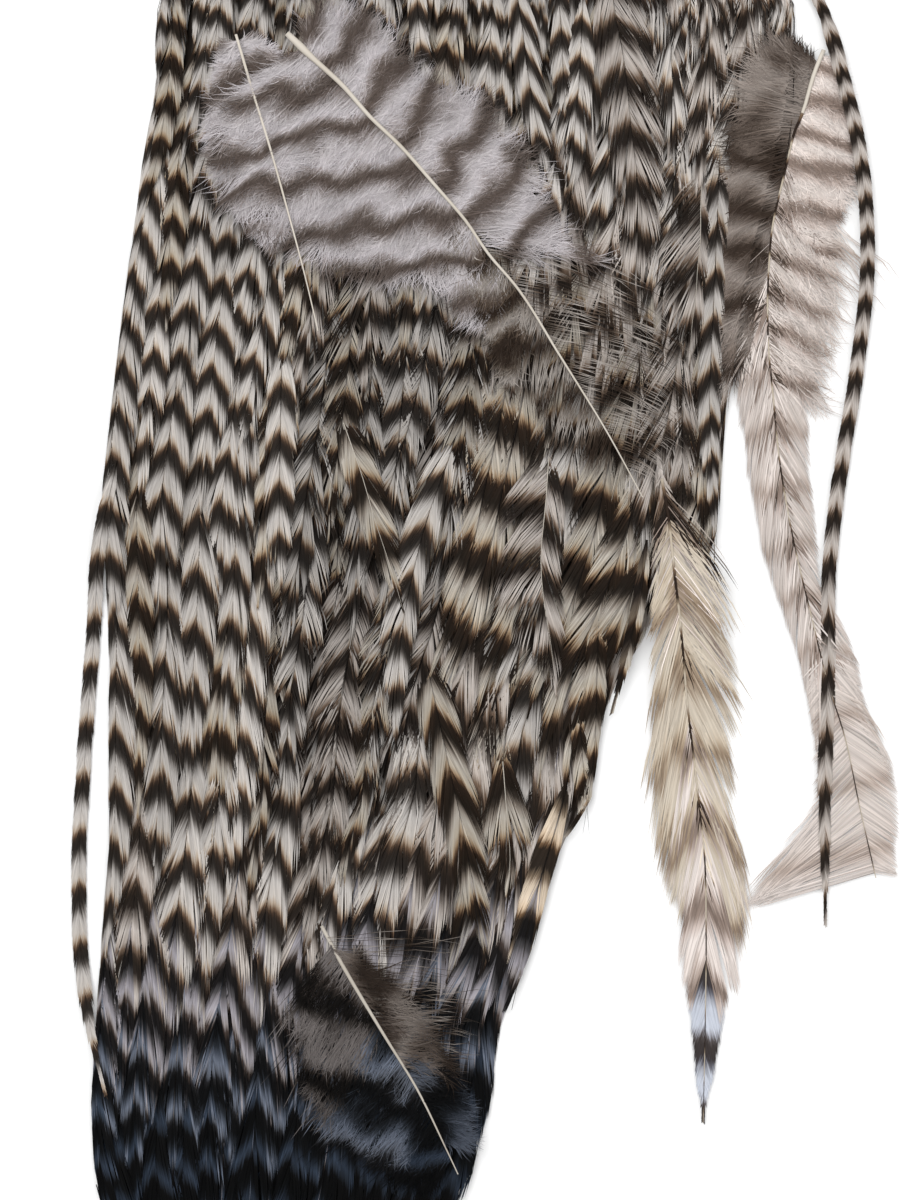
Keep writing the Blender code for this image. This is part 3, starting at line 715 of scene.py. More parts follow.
def hackle(piece, rng, shaft, shown_y, look, bars, offset=0.0, thin=1.0, shade=0.0, size=1.0, over=coat_top):
    """One feather of the coat, with its vane from shown_y down to the tip of its shaft."""
    shown_from = float(np.interp(-shown_y, -shaft.points[:, 1], shaft.s))
    size = size * rng.normal(1, 0.06)
    lean = rng.normal(1, 0.1)
    kind = look["kinds"][rng.integers(len(look["kinds"]))]
    tone = look["tone"] + shade + rng.normal(0, 0.05)
    sides = zip((-1, 1), look["widths"], both(look["angle"]), both(look["slope"]), both(bars))
    for side, broad, angle, slope, bars_here in sides:
        roots = spread(rng, shown_from, shaft.length - 1.0, look["density"] * thin)
        broad = broad * size
        shift = offset + rng.normal(0, 0.05)
        lead = broad / math.tan(math.radians(angle * lean))
        ends = roots + lead * rng.normal(1, 0.6 * look["ragged"], len(roots))
        ends = np.minimum(ends, shaft.length + rng.uniform(-0.5, 1.0, len(roots)))
        ends, group = clumped(ends, rng, look["clump"], look["pull"])
        ends = np.maximum(ends, roots + 0.6)
        unlike = rng.normal(0, look["unlike"], group.max() + 1)[group]
        width = broad * hackle_width(np.clip(ends / shaft.length, 0, 1), look["taper"])
        width = np.maximum(width * rng.normal(1, look["ragged"], len(roots)) * (1 + unlike), 0.12)

        def paint(line, s, lateral, at):
            ys = line.at(s)[..., 1]
            drop = slope * broad * (np.abs(lateral) / broad) ** BAR_CURVE
            phases = bars_here.phase(ys) - drop / bars_here.period(ys) + shift
            phases = phases + unlike[:, None] + rng.normal(0, 0.02, (len(at), 1))
            tones = tone + 0.4 * unlike + rng.normal(0, look["barb_tone"], len(at))
            return phases, coat_rows(kind, tones, line.at(0.5 * (at + ends)), rng)

        barbs(piece, shaft, side, roots, ends - roots, width, paint, rng,
              ribbon=look["ribbon"] / math.sqrt(thin), power=1.25, full_width=broad,
              lift=0.03 + 0.4 * look["unlike"], roll=look["roll"], over=over)
    places = np.linspace(shown_from, shaft.length, RIB_POINTS)
    centres = shaft.at(places)
    phases = both(bars)[0].phase(centres[:, 1]) + shift
    centres[:, 2] += RIB_RISE
    radii = np.linspace(*RIB_RADII, RIB_POINTS) * size * look["rib_size"]
    middle = centres[RIB_POINTS // 2][None]
    rows = coat_rows(look.get("rib", "midrib"), np.array([tone]), middle, rng)
    piece.tube(centres, radii, phases, rows[0], sides=3)


def coat_shaft(rng, flow, u, tip_y, above_y, depth, drift):
    """The shaft of a coat hackle on the flow line u. It dips under the feather that ends at above_y."""
    root_y = float(along(ROOT_LINE, tip_y))
    ys = np.linspace(root_y, tip_y, 30)
    fall = np.linspace(0, 1, 30)
    sway = rng.normal(0, 0.02) * np.sin(np.pi * fall) + drift * fall ** 1.5
    xs = flow(u + sway, ys)
    top = coat_top(xs, ys)
    cover = np.clip((ys - above_y + COVER_LEAD) / COVER_RUN, 0, 1)
    room = np.maximum(top - 0.6, 0.2)
    dip = np.minimum(COVER_DEPTH * cover + depth, 0.8 * room)
    root_rise = np.clip((root_y - ys) / 14, 0, 1)
    zs = ROOT_HEIGHT + (top - dip - ROOT_HEIGHT) * root_rise if above_y > 85 else top - dip
    return Shaft(np.column_stack([xs, ys, zs]))


def leaves_outline(u):
    """The height at which the flow line u leaves the coat's right side."""
    ys = np.arange(60, -250, -2.0)
    out = np.nonzero(along(RIGHT_EDGE, ys) - flow_x(u, ys) < 0.6)[0]
    return float(ys[out[0]]) if len(out) else -262.0


def column(piece, rng, u, group, depth, thin, shade):
    """A chain of hackles down one flow line, each ending on top of the next."""
    above = HEAD_END
    tip = FIRST_TIPS[1] - rng.uniform(0, FIRST_TIPS[1] - FIRST_TIPS[0])
    offset = group["wander"] * math.sin(5.1 * u + 1.3) + rng.normal(0, group["unlike"])
    shade = shade + group["outer"] * max(0.0, (u - 0.7) / 0.3)
    size = rng.uniform(*group["sizes"])
    depth = depth + rng.uniform(0, group["layered"])
    last = group["end_y"] + rng.uniform(-3, 5) if group["end_y"] else LOWEST_TIP + rng.uniform(0, 7)
    last = max(last, leaves_outline(u)) if group["flow"] is flow_x else last
    while True:
        style = style_at(group["region"], group["flow"](u, tip + 12), tip + 12)
        ends_here = tip <= last
        tip = max(tip, last)
        drift = rng.normal(0, group["drift"]) if style not in ORDERLY else rng.normal(0, 0.012)
        shaft = coat_shaft(rng, group["flow"], u + rng.normal(0, 0.008), tip, above, depth, drift)
        shown_y = min(float(shaft.at(0.0)[1]), above + HIDDEN_VANE)
        extra = 0.0 if style in ORDERLY else rng.normal(0, group["unlike"])
        hackle(piece, rng, shaft, shown_y, STYLES[style], group["bars"], offset + extra, thin, shade, size)
        if ends_here:
            return
        above = tip
        tip = tip - float(along(STEP_LINE, tip)) * rng.uniform(0.75, 1.25)


def style_at(region, x, y):
    """The style of the hackle that ends about this place, in one region of the coat."""
    if region == "right" and x < SMALL_UNTIL[0] and y > SMALL_UNTIL[1]:
        return "small"
    for height, style in REGION_STYLES[region]:
        if y > height:
            return style
    return "low"


LEFT_BARS = bars_spaced(LEFT_PERIODS, LEFT_DARK_BAR)
RIGHT_BARS = bars_spaced(RIGHT_PERIODS, RIGHT_DARK_BAR)

# The styles down each region, each with the height where it stops, and where the right one's small hackles
# are. Orderly styles keep to their column.
REGION_STYLES = {
    "left": ((-4, "small"), (-158, "neat")), "middle": ((0, "small"), (-158, "mixed")),
    "right": ((-45, "broad"), (-92, "open"), (-158, "banded")),
}
SMALL_UNTIL = (31, -8)
ORDERLY = ("neat", "small", "low")

# Groups of columns. In order: the function of their flow lines, the first and the last line, the spacing,
# the region, the bars, how much columns differ in the bars' heights by chance and by place and in depth, how
# far they drift, their range of sizes, how much lighter the outermost are, the coat's outline that they
# reach, and the height where they end if not at the coat's end.
GROUP_FACTS = (
    "flow", "first_u", "last_u", "spacing", "region", "bars", "unlike", "wander", "layered", "drift", "sizes",
    "outer", "outline", "end_y",
)
GROUP_ROWS = {
    "left_hackles": (flow_x, -0.985, -0.36, 5.3, "left", LEFT_BARS, 0.27, 0.18, 0.34, 0.02, (0.78, 1.2), 0,
                     "left", None),
    "middle_hackles": (flow_x, -0.36, 0.26, 5.4, "middle", LEFT_BARS, 0.16, 0.13, 0.4, 0.06, (0.85, 1.2), 0,
                       None, None),
    "right_hackles": (flow_x, 0.26, 0.985, 5.6, "right", RIGHT_BARS, 0.13, 0.1, 0.4, 0.04, (0.85, 1.15), 0.24,
                      "right", None),
    "skirt_hackles": (skirt_x, -0.8, 0.9, 4.6, "right", RIGHT_BARS, 0.12, 0.1, 0.3, 0.02, (0.8, 1.1), 0.22,
                      None, -84),
}
COLUMN_GROUPS = {name: dict(zip(GROUP_FACTS, row)) for name, row in GROUP_ROWS.items()}

# The widths that the flow lines and the skirt's lines span.
FLOW_SPAN = 124
SKIRT_SPAN = 24

# The coat's two layers: how deep they lie, how dense their barbs are and how much darker they look, which on
# the lower layer is painted shade.
LAYERS = ((0.0, 1.0, 0.0), (2.1, 0.6, -0.18))

# How far hackles on top of the coat rise above it.
OUTSTANDING_RISE = 0.55

# The dark inner body: its span down the coat, how far inside the outline and the top it stays, and its floor.
DOWN_SPAN = (79, -236)
DOWN_INSET = 6
DOWN_DEPTH = 3.6
DOWN_FLOOR = 0.9

# The underside: where the tips of its layers lie with their heights, and how its hackles are made.
BOTTOM_LAYERS = ((-95, 0.8), (-150, 0.72), (-200, 0.64), (-246, 0.56))
BOTTOM_COLUMNS = 17
BOTTOM_LEAST = 15
BOTTOM_STYLE = {
    **STYLES["low"], "widths": (4.4, 4.6), "density": 0.8, "ribbon": 0.62, "roll": 0.0, "tone": 0.36,
    "unlike": 0.03, "rib_size": 0.8, "kinds": ("soft", "warm"),
}

# Single hackles that stand out on top of the coat, with the heights where dark bars cross their shafts.
OWN_STYLES = {
    "wide": {**STYLES["broad"], "unlike": 0.04, "roll": 0.0, "density": 2.1, "tone": 0.4, "rib_size": 0.5},
    "slim": {**STYLES["neat"], "unlike": 0.02, "roll": 0.0, "kinds": ("crisp",)},
    "edge": STYLES["edge"],
}
STANDING_OUT = [
    dict(style="wide", dark=[24.2, 14.2, 3.4, -7.2, -18, -28], widths=(5.8, 6.6), angle=(15, 20),
        slope=(0.6, 0.75), kinds=("soft",), tone=0.42, shaft=[(32, 46), (33.6, 36), (34.6, 26.8),
        (36.6, 16.2), (37.6, 6.2), (39, -5), (40, -13), (40.2, -28)]),
    dict(style="slim", dark=[27, 18.6, 10], widths=(2.1, 1.9), shaft=[(-5.2, 38), (-4.6, 30), (-4.2, 24),
        (-3.6, 18), (-2.4, 13), (-0.8, 9.2)]),
    dict(style="slim", dark=[26, 17.6, 9.2, 0.4], widths=(2.3, 2.8), slope=(1.6, 2.2), shaft=[(14, 40),
        (15.4, 29), (16.4, 22.4), (17.4, 13.8), (18.8, 6), (20.6, -3), (21.2, -7)]),
    dict(style="slim", dark=[29.4, 21, 12.6], widths=(2.4, 2.0), shaft=[(23.2, 38), (23.6, 28), (24, 23.2),
        (24.2, 18), (24.4, 14.2), (24.8, 5)]),
    dict(style="slim", dark=[24.4, 16.4, 8, 0], widths=(3.6, 2.8), slope=1.1, shaft=[(28.6, 34), (28, 22),
        (27.4, 11), (26.6, 3), (26.2, -2), (25.2, -8)]),
    dict(style="slim", dark=[-10, -18.6, -27.2], widths=(3.0, 2.8), slope=1.1, shaft=[(23.2, 0), (22.2, -8),
        (21, -14.8), (19.2, -20), (17.6, -24), (16, -32)]),
    dict(style="wide", dark=[-56, -65.6, -76, -87, -97.2, -108, -117.6], widths=(4.0, 2.8), angle=15,
        slope=(1.1, 1.4), kinds=("crisp",), shaft=[(6, -46), (4.4, -52.8), (1.6, -62.4), (-2.4, -73.4),
        (-5.2, -84), (-7.4, -95), (-8.4, -106), (-8.8, -114), (-8.6, -120)]),
    dict(style="wide", dark=[-56, -66.8, -79, -90], widths=(3.0, 3.4), angle=(15, 17), slope=(0.9, 0.8),
        kinds=("warm",), rib="shaft", shaft=[(-21, -46), (-20.2, -51.4), (-18, -58), (-15.8, -64.2),
        (-12.8, -74.4), (-9, -86), (-7.2, -92.4)]),
    dict(style="wide", dark=[-71.8, -82.4, -91.8, -102], dark_right=[-75, -85.2, -98.2, -111],
        widths=(9.0, 4.0), angle=(34, 15), slope=(0.2, 0.9), kinds=("soft",), rib="shaft",
        shaft=[(22.4, -54), (21.4, -64), (21, -70.4), (20.2, -78), (20, -83.2), (20.6, -90), (22.2, -99.6),
        (23.2, -109)]),
    dict(style="wide", dark=[-101, -112.4, -125.2, -139.6, -150.8, -162], widths=(4.4, 4.4), angle=14,
        slope=1.7, kinds=("warm",), shaft=[(-5.4, -90), (-3, -101), (-0.8, -111), (2, -124), (4.8, -136.8),
        (6.8, -148), (8.8, -157), (9.6, -163)]),
    dict(style="wide", dark=[-124.4, -139, -153], widths=(5.0, 4.6), angle=17, slope=0.8, kinds=("warm",),
        rib="shaft", shaft=[(12, -116), (12.8, -126), (13.4, -134), (14, -142), (13.2, -149)]),
    dict(style="slim", dark=[-117, -127, -134], widths=(2.2, 1.8), kinds=("warm",), shaft=[(27.6, -108),
        (28.6, -122), (29.4, -130), (30, -137.2)]),
    dict(style="slim", dark=[-38.8, -48.6, -58.6, -68.6, -78.8], widths=(2.8, 3.0), slope=1.3,
        shaft=[(-31.2, -30), (-31.4, -44.6), (-31.6, -56), (-31.8, -66), (-31.8, -78), (-31.4, -88.4)]),
    dict(style="wide", dark=[-11, -24.2, -36], dark_right=[-15, -26, -35, -45.2], widths=(10.0, 3.6),
        angle=(30, 14), slope=(0.5, 1.0), kinds=("soft",), rib="shaft", shaft=[(52.8, 0), (52, -11.6),
        (51.9, -19.2), (51.4, -23.6), (51.2, -28), (50.4, -34.2), (49.8, -42.8)]),
    dict(style="slim", dark=[14, 3, -6, -16, -25, -34.4, -44.4, -54, -62, -70, -78], widths=(2.3, 2.3),
        slope=1.3, shaft=[(57, 22), (56, 4), (55.4, -14), (54.6, -34), (54, -50), (54.6, -64),
        (55.6, -79)]),
    dict(style="slim", dark=[-88.8, -99.2, -110, -122, -133], widths=(2.4, 2.0), slope=0.8, kinds=("warm",),
        shaft=[(32, -84), (31.4, -104), (31, -120), (29.8, -130), (28.7, -137)]),
    dict(style="edge", dark=[-115.6, -128.6, -142.4, -157, -170.6], shaft=[(26.8, -120), (25.2, -128),
        (23.2, -135.6), (21.2, -142.4), (19.2, -149.2), (17.6, -156), (16.4, -163.2), (14.4, -172.4)]),
]


def coat_columns(rng):
    """The coat's pieces: columns of hackles, with an under layer half a column aside, darkened as painted
    shade.
    """
    pieces = []
    for name, group in COLUMN_GROUPS.items():
        piece = Piece(name)
        first, last = group["first_u"], group["last_u"]
        wide = 0.5 * (FLOW_SPAN if group["flow"] is flow_x else SKIRT_SPAN) * (last - first)
        amount = round(wide / group["spacing"])
        for layer, (depth, thin, shade) in enumerate(LAYERS):
            for index in range(amount):
                place = index + 0.25 + 0.5 * layer + rng.uniform(-0.25, 0.25)
                if group["outline"] == "left" and index == layer == 0:
                    place = 0.0
                if group["outline"] == "right" and layer == 0 and index == amount - 1:
                    place = float(amount)
                column(piece, rng, first + (last - first) * place / amount, group, depth, thin, shade)
        pieces.append(piece)
    return pieces


def outstanding_hackles(rng):
    """The single hackles on top of the coat."""
    piece = Piece("outstanding_hackles")
    for facts in STANDING_OUT:
        xy = smooth_through(facts["shaft"], np.linspace(0, 1, 40))
        xy = xy[np.argsort(-xy[:, 1])]
        top = coat_top(xy[:, 0], xy[:, 1])
        buried = 2.6 * np.clip(1 - np.arange(40) / 12, 0, 1)
        shaft = Shaft(np.column_stack([xy, top + OUTSTANDING_RISE - np.minimum(buried, 0.7 * top)]))
        bars = bars_at(facts["dark"])
        if "dark_right" in facts:
            bars = (bars, bars_at(facts["dark_right"]))
        hackle(piece, rng, shaft, xy[3, 1], {**OWN_STYLES[facts["style"]], **facts}, bars)
    return piece


def bottom_hackles(rng):
    """The undersides of the longest hackles: a flat layer that closes the coat from below, round the skin."""
    piece = Piece("bottom_hackles")
    for tip_y, height in BOTTOM_LAYERS:
        for index in range(BOTTOM_COLUMNS):
            u = 1.9 * (index + 0.5 + rng.uniform(-0.2, 0.2)) / BOTTOM_COLUMNS - 0.95
            tip = max(tip_y + rng.uniform(-12, 12), leaves_outline(u) + 4, -244)
            root = float(along(ROOT_LINE, tip))
            if root - tip < BOTTOM_LEAST:
                continue
            ys = np.linspace(root, tip, 24)
            xs = flow_x(u + rng.normal(0, 0.02) * np.linspace(0, 1, 24), ys)
            shaft = Shaft(np.column_stack([xs, ys, np.full(24, height)]))
            hackle(piece, rng, shaft, root, BOTTOM_STYLE, LEFT_BARS, rng.normal(0, 0.2), over=level)
    return piece


def under_down():
    """The coat's dark inner body, which closes the gaps between the feathers."""
    piece = Piece("under_down")
    ys = np.linspace(*DOWN_SPAN, 60)
    turn = np.linspace(0, np.pi, 21)
    rings = []
    for y in ys:
        left, right = float(along(LEFT_LINE, y)), float(along(BODY_LINE, y))
        middle, half = 0.5 * (left + right), 0.5 * (right - left) - DOWN_INSET
        x = middle - half * np.cos(turn)
        top = np.maximum(coat_top(x, np.full_like(x, y)) - DOWN_DEPTH, 1.4)
        rise = np.clip((ys[0] + 0.4 - y) / 8, 0, 1)
        top = DOWN_FLOOR + (top - DOWN_FLOOR) * rise * np.sin(turn) ** 0.5
        upper = np.column_stack([x, np.full_like(x, y), top])
        lower = np.column_stack([x[-2:0:-1], np.full(19, y), np.full(19, DOWN_FLOOR)])
        rings.append(np.vstack([upper, lower]))
    rings = np.array(rings)
    stations, around = rings.shape[:2]
    u = np.linspace(0.05, 0.95, around)[None, :] * np.ones((stations, 1))
    v = (rows_of("fluff", 0.25) + 0.5 + 0.3 * np.sin(np.arange(stations))) / ROWS
    uv = np.stack([u, np.broadcast_to(v[:, None], u.shape)], axis=-1)
    piece.add(rings, uv, ring_faces(stations, around)[:, [0, 3, 2, 1]])
    return piece


# Loose and outlying feathers

# Shaft lines and outlines, as the CAD feathers have them, and the heights where dark bars cross the shaft.
LEFT_STRAY = dict(
    shaft=[(-65, -62), (-68.6, -79), (-70, -98), (-71.8, -122), (-72.9, -146), (-72.4, -162), (-70.4, -176),
        (-67, -190)],
    half_widths=[(0, 1.4), (0.3, 1.8), (0.7, 1.65), (0.86, 1.5), (1, 0.1)],
    bars=[-62, -72, -82.4, -95, -104.2, -116, -126.8, -138.2, -149, -160.6, -171, -181, -190],
    slopes=(0.9, 0.3),
)
RIGHT_LONG = dict(
    shaft=[(61, 50), (70.5, 40), (76.4, 30), (81, 15), (84.4, 0), (86, -22), (84.2, -42), (80.4, -66),
        (78.4, -84), (78.2, -104), (77.6, -124), (77.6, -156)],
    half_widths=[(0, 1.0), (0.15, 1.5), (0.5, 1.6), (0.88, 1.5), (0.94, 1.1), (1, 0.1)],
    bars=[47, 41, 35, 29, 22.8, 16, 10.6, 4.4, -2.8, -9.6, -16.4, -23, -29.8, -38.2, -45, -54, -63.6, -72.8,
        -82.2, -94.4, -104.8, -117.6, -128.8, -141, -150.8, -161],
    rise=[(30, 0), (18, 1.6), (-14, 1.6), (-40, 0)], slopes=(0.9, 1.6), aside=0.12,
)
SHORT_DARK = dict(
    shaft=[(41.2, -78), (39.8, -90), (37.7, -100), (34.4, -113)],
    half_widths=[(0, 1.2), (0.4, 1.6), (0.75, 1.3), (1, 0.1)],
    bars=[-78, -87, -96.5, -106, -117],
    slopes=(0.9, 0.9),
)
PALE_HACKLE = dict(
    shaft=[(44.2, -65.8), (45.6, -73.8), (46.3, -80), (47, -86.2), (47.8, -92), (48.6, -99), (49.8, -111.2),
        (51.2, -122.4), (52.3, -132.2), (53.3, -142), (53.6, -156), (53.4, -177), (53, -195.4)],
    left=[(43.6, -66), (42.4, -76), (42.2, -88.8), (42.4, -104.2), (43, -116.8), (42.8, -128), (44.2, -137),
        (45.4, -148), (48.4, -155), (48.4, -162), (49.5, -170), (50.7, -178), (51.6, -188), (53, -195.4)],
    right=[(45, -66), (48.6, -74), (54, -82), (57.4, -87), (56.4, -94.4), (58.2, -104.2), (59.8, -114),
        (59.2, -121), (58.6, -132.2), (60.6, -144.8), (61.6, -151.4), (60.8, -161.6), (59.4, -168.6),
        (57.4, -175.4), (55.6, -184), (53, -195.4)],
    bars=[-71.6, -88, -104.2, -118.2, -132.2, -150.4, -165.2, -180.4, -194.4],
    dashes=[-71.6, -87.6, -99, -117.6, -133.6, -143.4, -159.6, -178, -190],
)
SIDE_DOWNY = dict(
    shaft=[(77.3, 20.8), (75.9, 17.6), (74.1, 11.8), (73.1, 8.2), (71.5, 4.6), (69.7, -2.8), (68, -9.8),
        (67.1, -13.8), (66.3, -21.8), (66, -28), (66, -34.2), (66.2, -40), (66.9, -46.8), (68.4, -62),
        (71.2, -78), (75, -94), (78.2, -107), (81.4, -117), (84.4, -131), (87.8, -146)],
    left=[(77, 21), (74.4, 17), (72.6, 19), (70, 21.6), (66, 20.6), (63, 16), (61, 6), (59, -6),
        (57.6, -20), (57.6, -28), (58.2, -36), (59, -45), (61, -58), (62.4, -68), (67, -88), (71.6, -101),
        (74.6, -113), (77.5, -127), (81.5, -139), (87.8, -146)],
    lobe=[(71.6, -101), (74.6, -113), (75.4, -126), (75, -131), (71.5, -137.5), (67, -144), (62.4, -151.4)],
    right=[(77.6, 21), (79.2, 17.2), (81.6, 10), (83, 2), (83.4, -6), (82.4, -11), (79.4, -14.4),
        (79.4, -22.4), (79, -30), (78, -37), (75.4, -42), (75.4, -50), (74.4, -58), (75, -66), (76, -76),
        (77.2, -88), (83.4, -100), (87, -114), (91.6, -124), (92.4, -146)],
    left_bars=[27, -3, -12.4, -20, -30.2, -42.6, -54, -65.8, -77.2, -87.6, -98, -113, -127, -140, -154],
    right_bars=[18, 11.4, 5, -1.2, -10.4, -19.2, -27, -34.6, -43.4, -53.6, -65.8, -78, -88, -100, -113,
        -127, -140, -154],
    dashes=[19, 4.5, -3, -10.4, -18, -26.5, -35, -44, -53.6, -64, -78, -88, -100, -113, -127, -140, -154],
)
LOOSE_DOWNY = dict(
    shaft=[(-30.2, 22), (-24.6, 16.6), (-19.4, 11.8), (-13.8, 5.4), (-8, -0.2), (-0.4, -8.8), (4.8, -14.8),
        (9.8, -22), (14.8, -27.8), (23.6, -41.6), (33.8, -58), (40.2, -69.6)],
    left=[(-30.4, 21.6), (-38, 12), (-43, 0), (-40, -10), (-30, -17.4), (-20, -22.6), (-8, -24.6), (1, -24),
        (6, -30), (10, -38), (13, -47), (22, -58), (30, -66), (40.2, -69.6)],
    right=[(-29.8, 22.4), (-26, 24), (-19, 23.4), (-12.6, 20), (-9.8, 16.6), (-8.6, 11.4), (-2, 10.2),
        (1.8, 8.8), (6.4, 7.4), (8.4, 1.6), (12, -0.6), (15.6, -4), (16.8, -10), (19.2, -17), (24, -20),
        (33, -26), (45, -33), (48, -44), (48, -55), (45, -64), (40.2, -69.6)],
    left_bars=[-7, 2, 14.5, 24.5, 38, 50, 59.5, 69, 80, 92, 104, 116],
    right_bars=[-9, 2, 11, 21, 31, 42, 52, 62, 73, 84, 95, 106, 118],
)
LOOSE_THIN = dict(
    shaft=[(-40.4, 22), (-37.2, 11.2), (-33.8, 0.2), (-29.8, -14), (-26.6, -26), (-24, -37)],
    left=[(-40.6, 21.6), (-43.4, 14), (-45.6, 6), (-45, -4), (-41, -12), (-34, -19), (-30, -27),
        (-25, -36)],
    right=[(-40, 22), (-34, 18.6), (-27.4, 12), (-25, 5), (-22, -4), (-20.6, -12), (-22, -22),
        (-23.6, -36)],
    bars=[-3, 7, 16.5, 26, 34, 43, 52, 61, 70],
)
LOOSE_LOWER = dict(
    shaft=[(-23.6, -155), (-19.2, -163), (-11.2, -176.6), (-4.6, -187.6), (1.4, -200.2), (3.6, -205)],
    left=[(-24.2, -154.6), (-26.6, -164), (-27, -176), (-25, -188), (-18, -198), (-8, -205), (3, -206)],
    right=[(-23.4, -154.6), (-12, -157), (1, -160), (6.6, -170), (7, -184), (5, -197), (3.6, -205)],
    inner=[(-23.4, -154.6), (-19, -160), (-11, -167), (-3.6, -175), (1.4, -184), (3.6, -192), (4.2, -199),
        (3.6, -205)],
    left_bars=[-8, 19.5, 46, 62, 78],
    right_bars=[-8, 5, 14, 23, 32, 42, 52, 62, 72],
)


def laid(points, lift, rise=((0, 0), (-200, 0)), count=60, reach=5):
    """A shaft through these points, lying smoothly on what is under it. rise lifts it at heights."""
    xy = smooth_through(points, np.linspace(0, 1, count))
    z = ground(xy[:, 0], xy[:, 1])
    for smoothed in (np.max, np.mean):
        wide = np.pad(z, reach, mode="edge")
        z = np.array([smoothed(wide[i:i + 2 * reach + 1]) for i in range(count)])
    return Shaft(np.column_stack([xy, z + lift + along(np.array(rise, float), xy[:, 1])]))


def width_to(shaft, outline, side):
    """A function that gives how far an outline stands from the shaft, at each length along it."""
    edge = smooth_through(outline, np.linspace(0, 1, 240))
    places = np.linspace(-6, shaft.length - 0.5, 80)
    widths = []
    for place in places:
        out = side * shaft.across(place)
        rel = edge - shaft.at(place)[:2]
        sideways = rel @ out
        onward = np.abs(rel @ np.array([out[1], -out[0]]))
        onward[sideways < 0.05] = 1e6
        widths.append(max(float(sideways[np.argmin(onward)]), 0.15))
    return lambda s: np.interp(s, places, widths)


def bars_every(places):
    """Phase along a feather whose dark bars cross its shaft at these lengths along it."""
    return lambda line, s: np.interp(s, places, np.arange(len(places)) + DARK_PHASE) + 3


def bars_down(heights):
    """Phase along a feather whose dark bars cross its shaft at these heights."""
    bars = bars_at(heights)
    return lambda line, s: bars.phase(line.at(s)[..., 1])


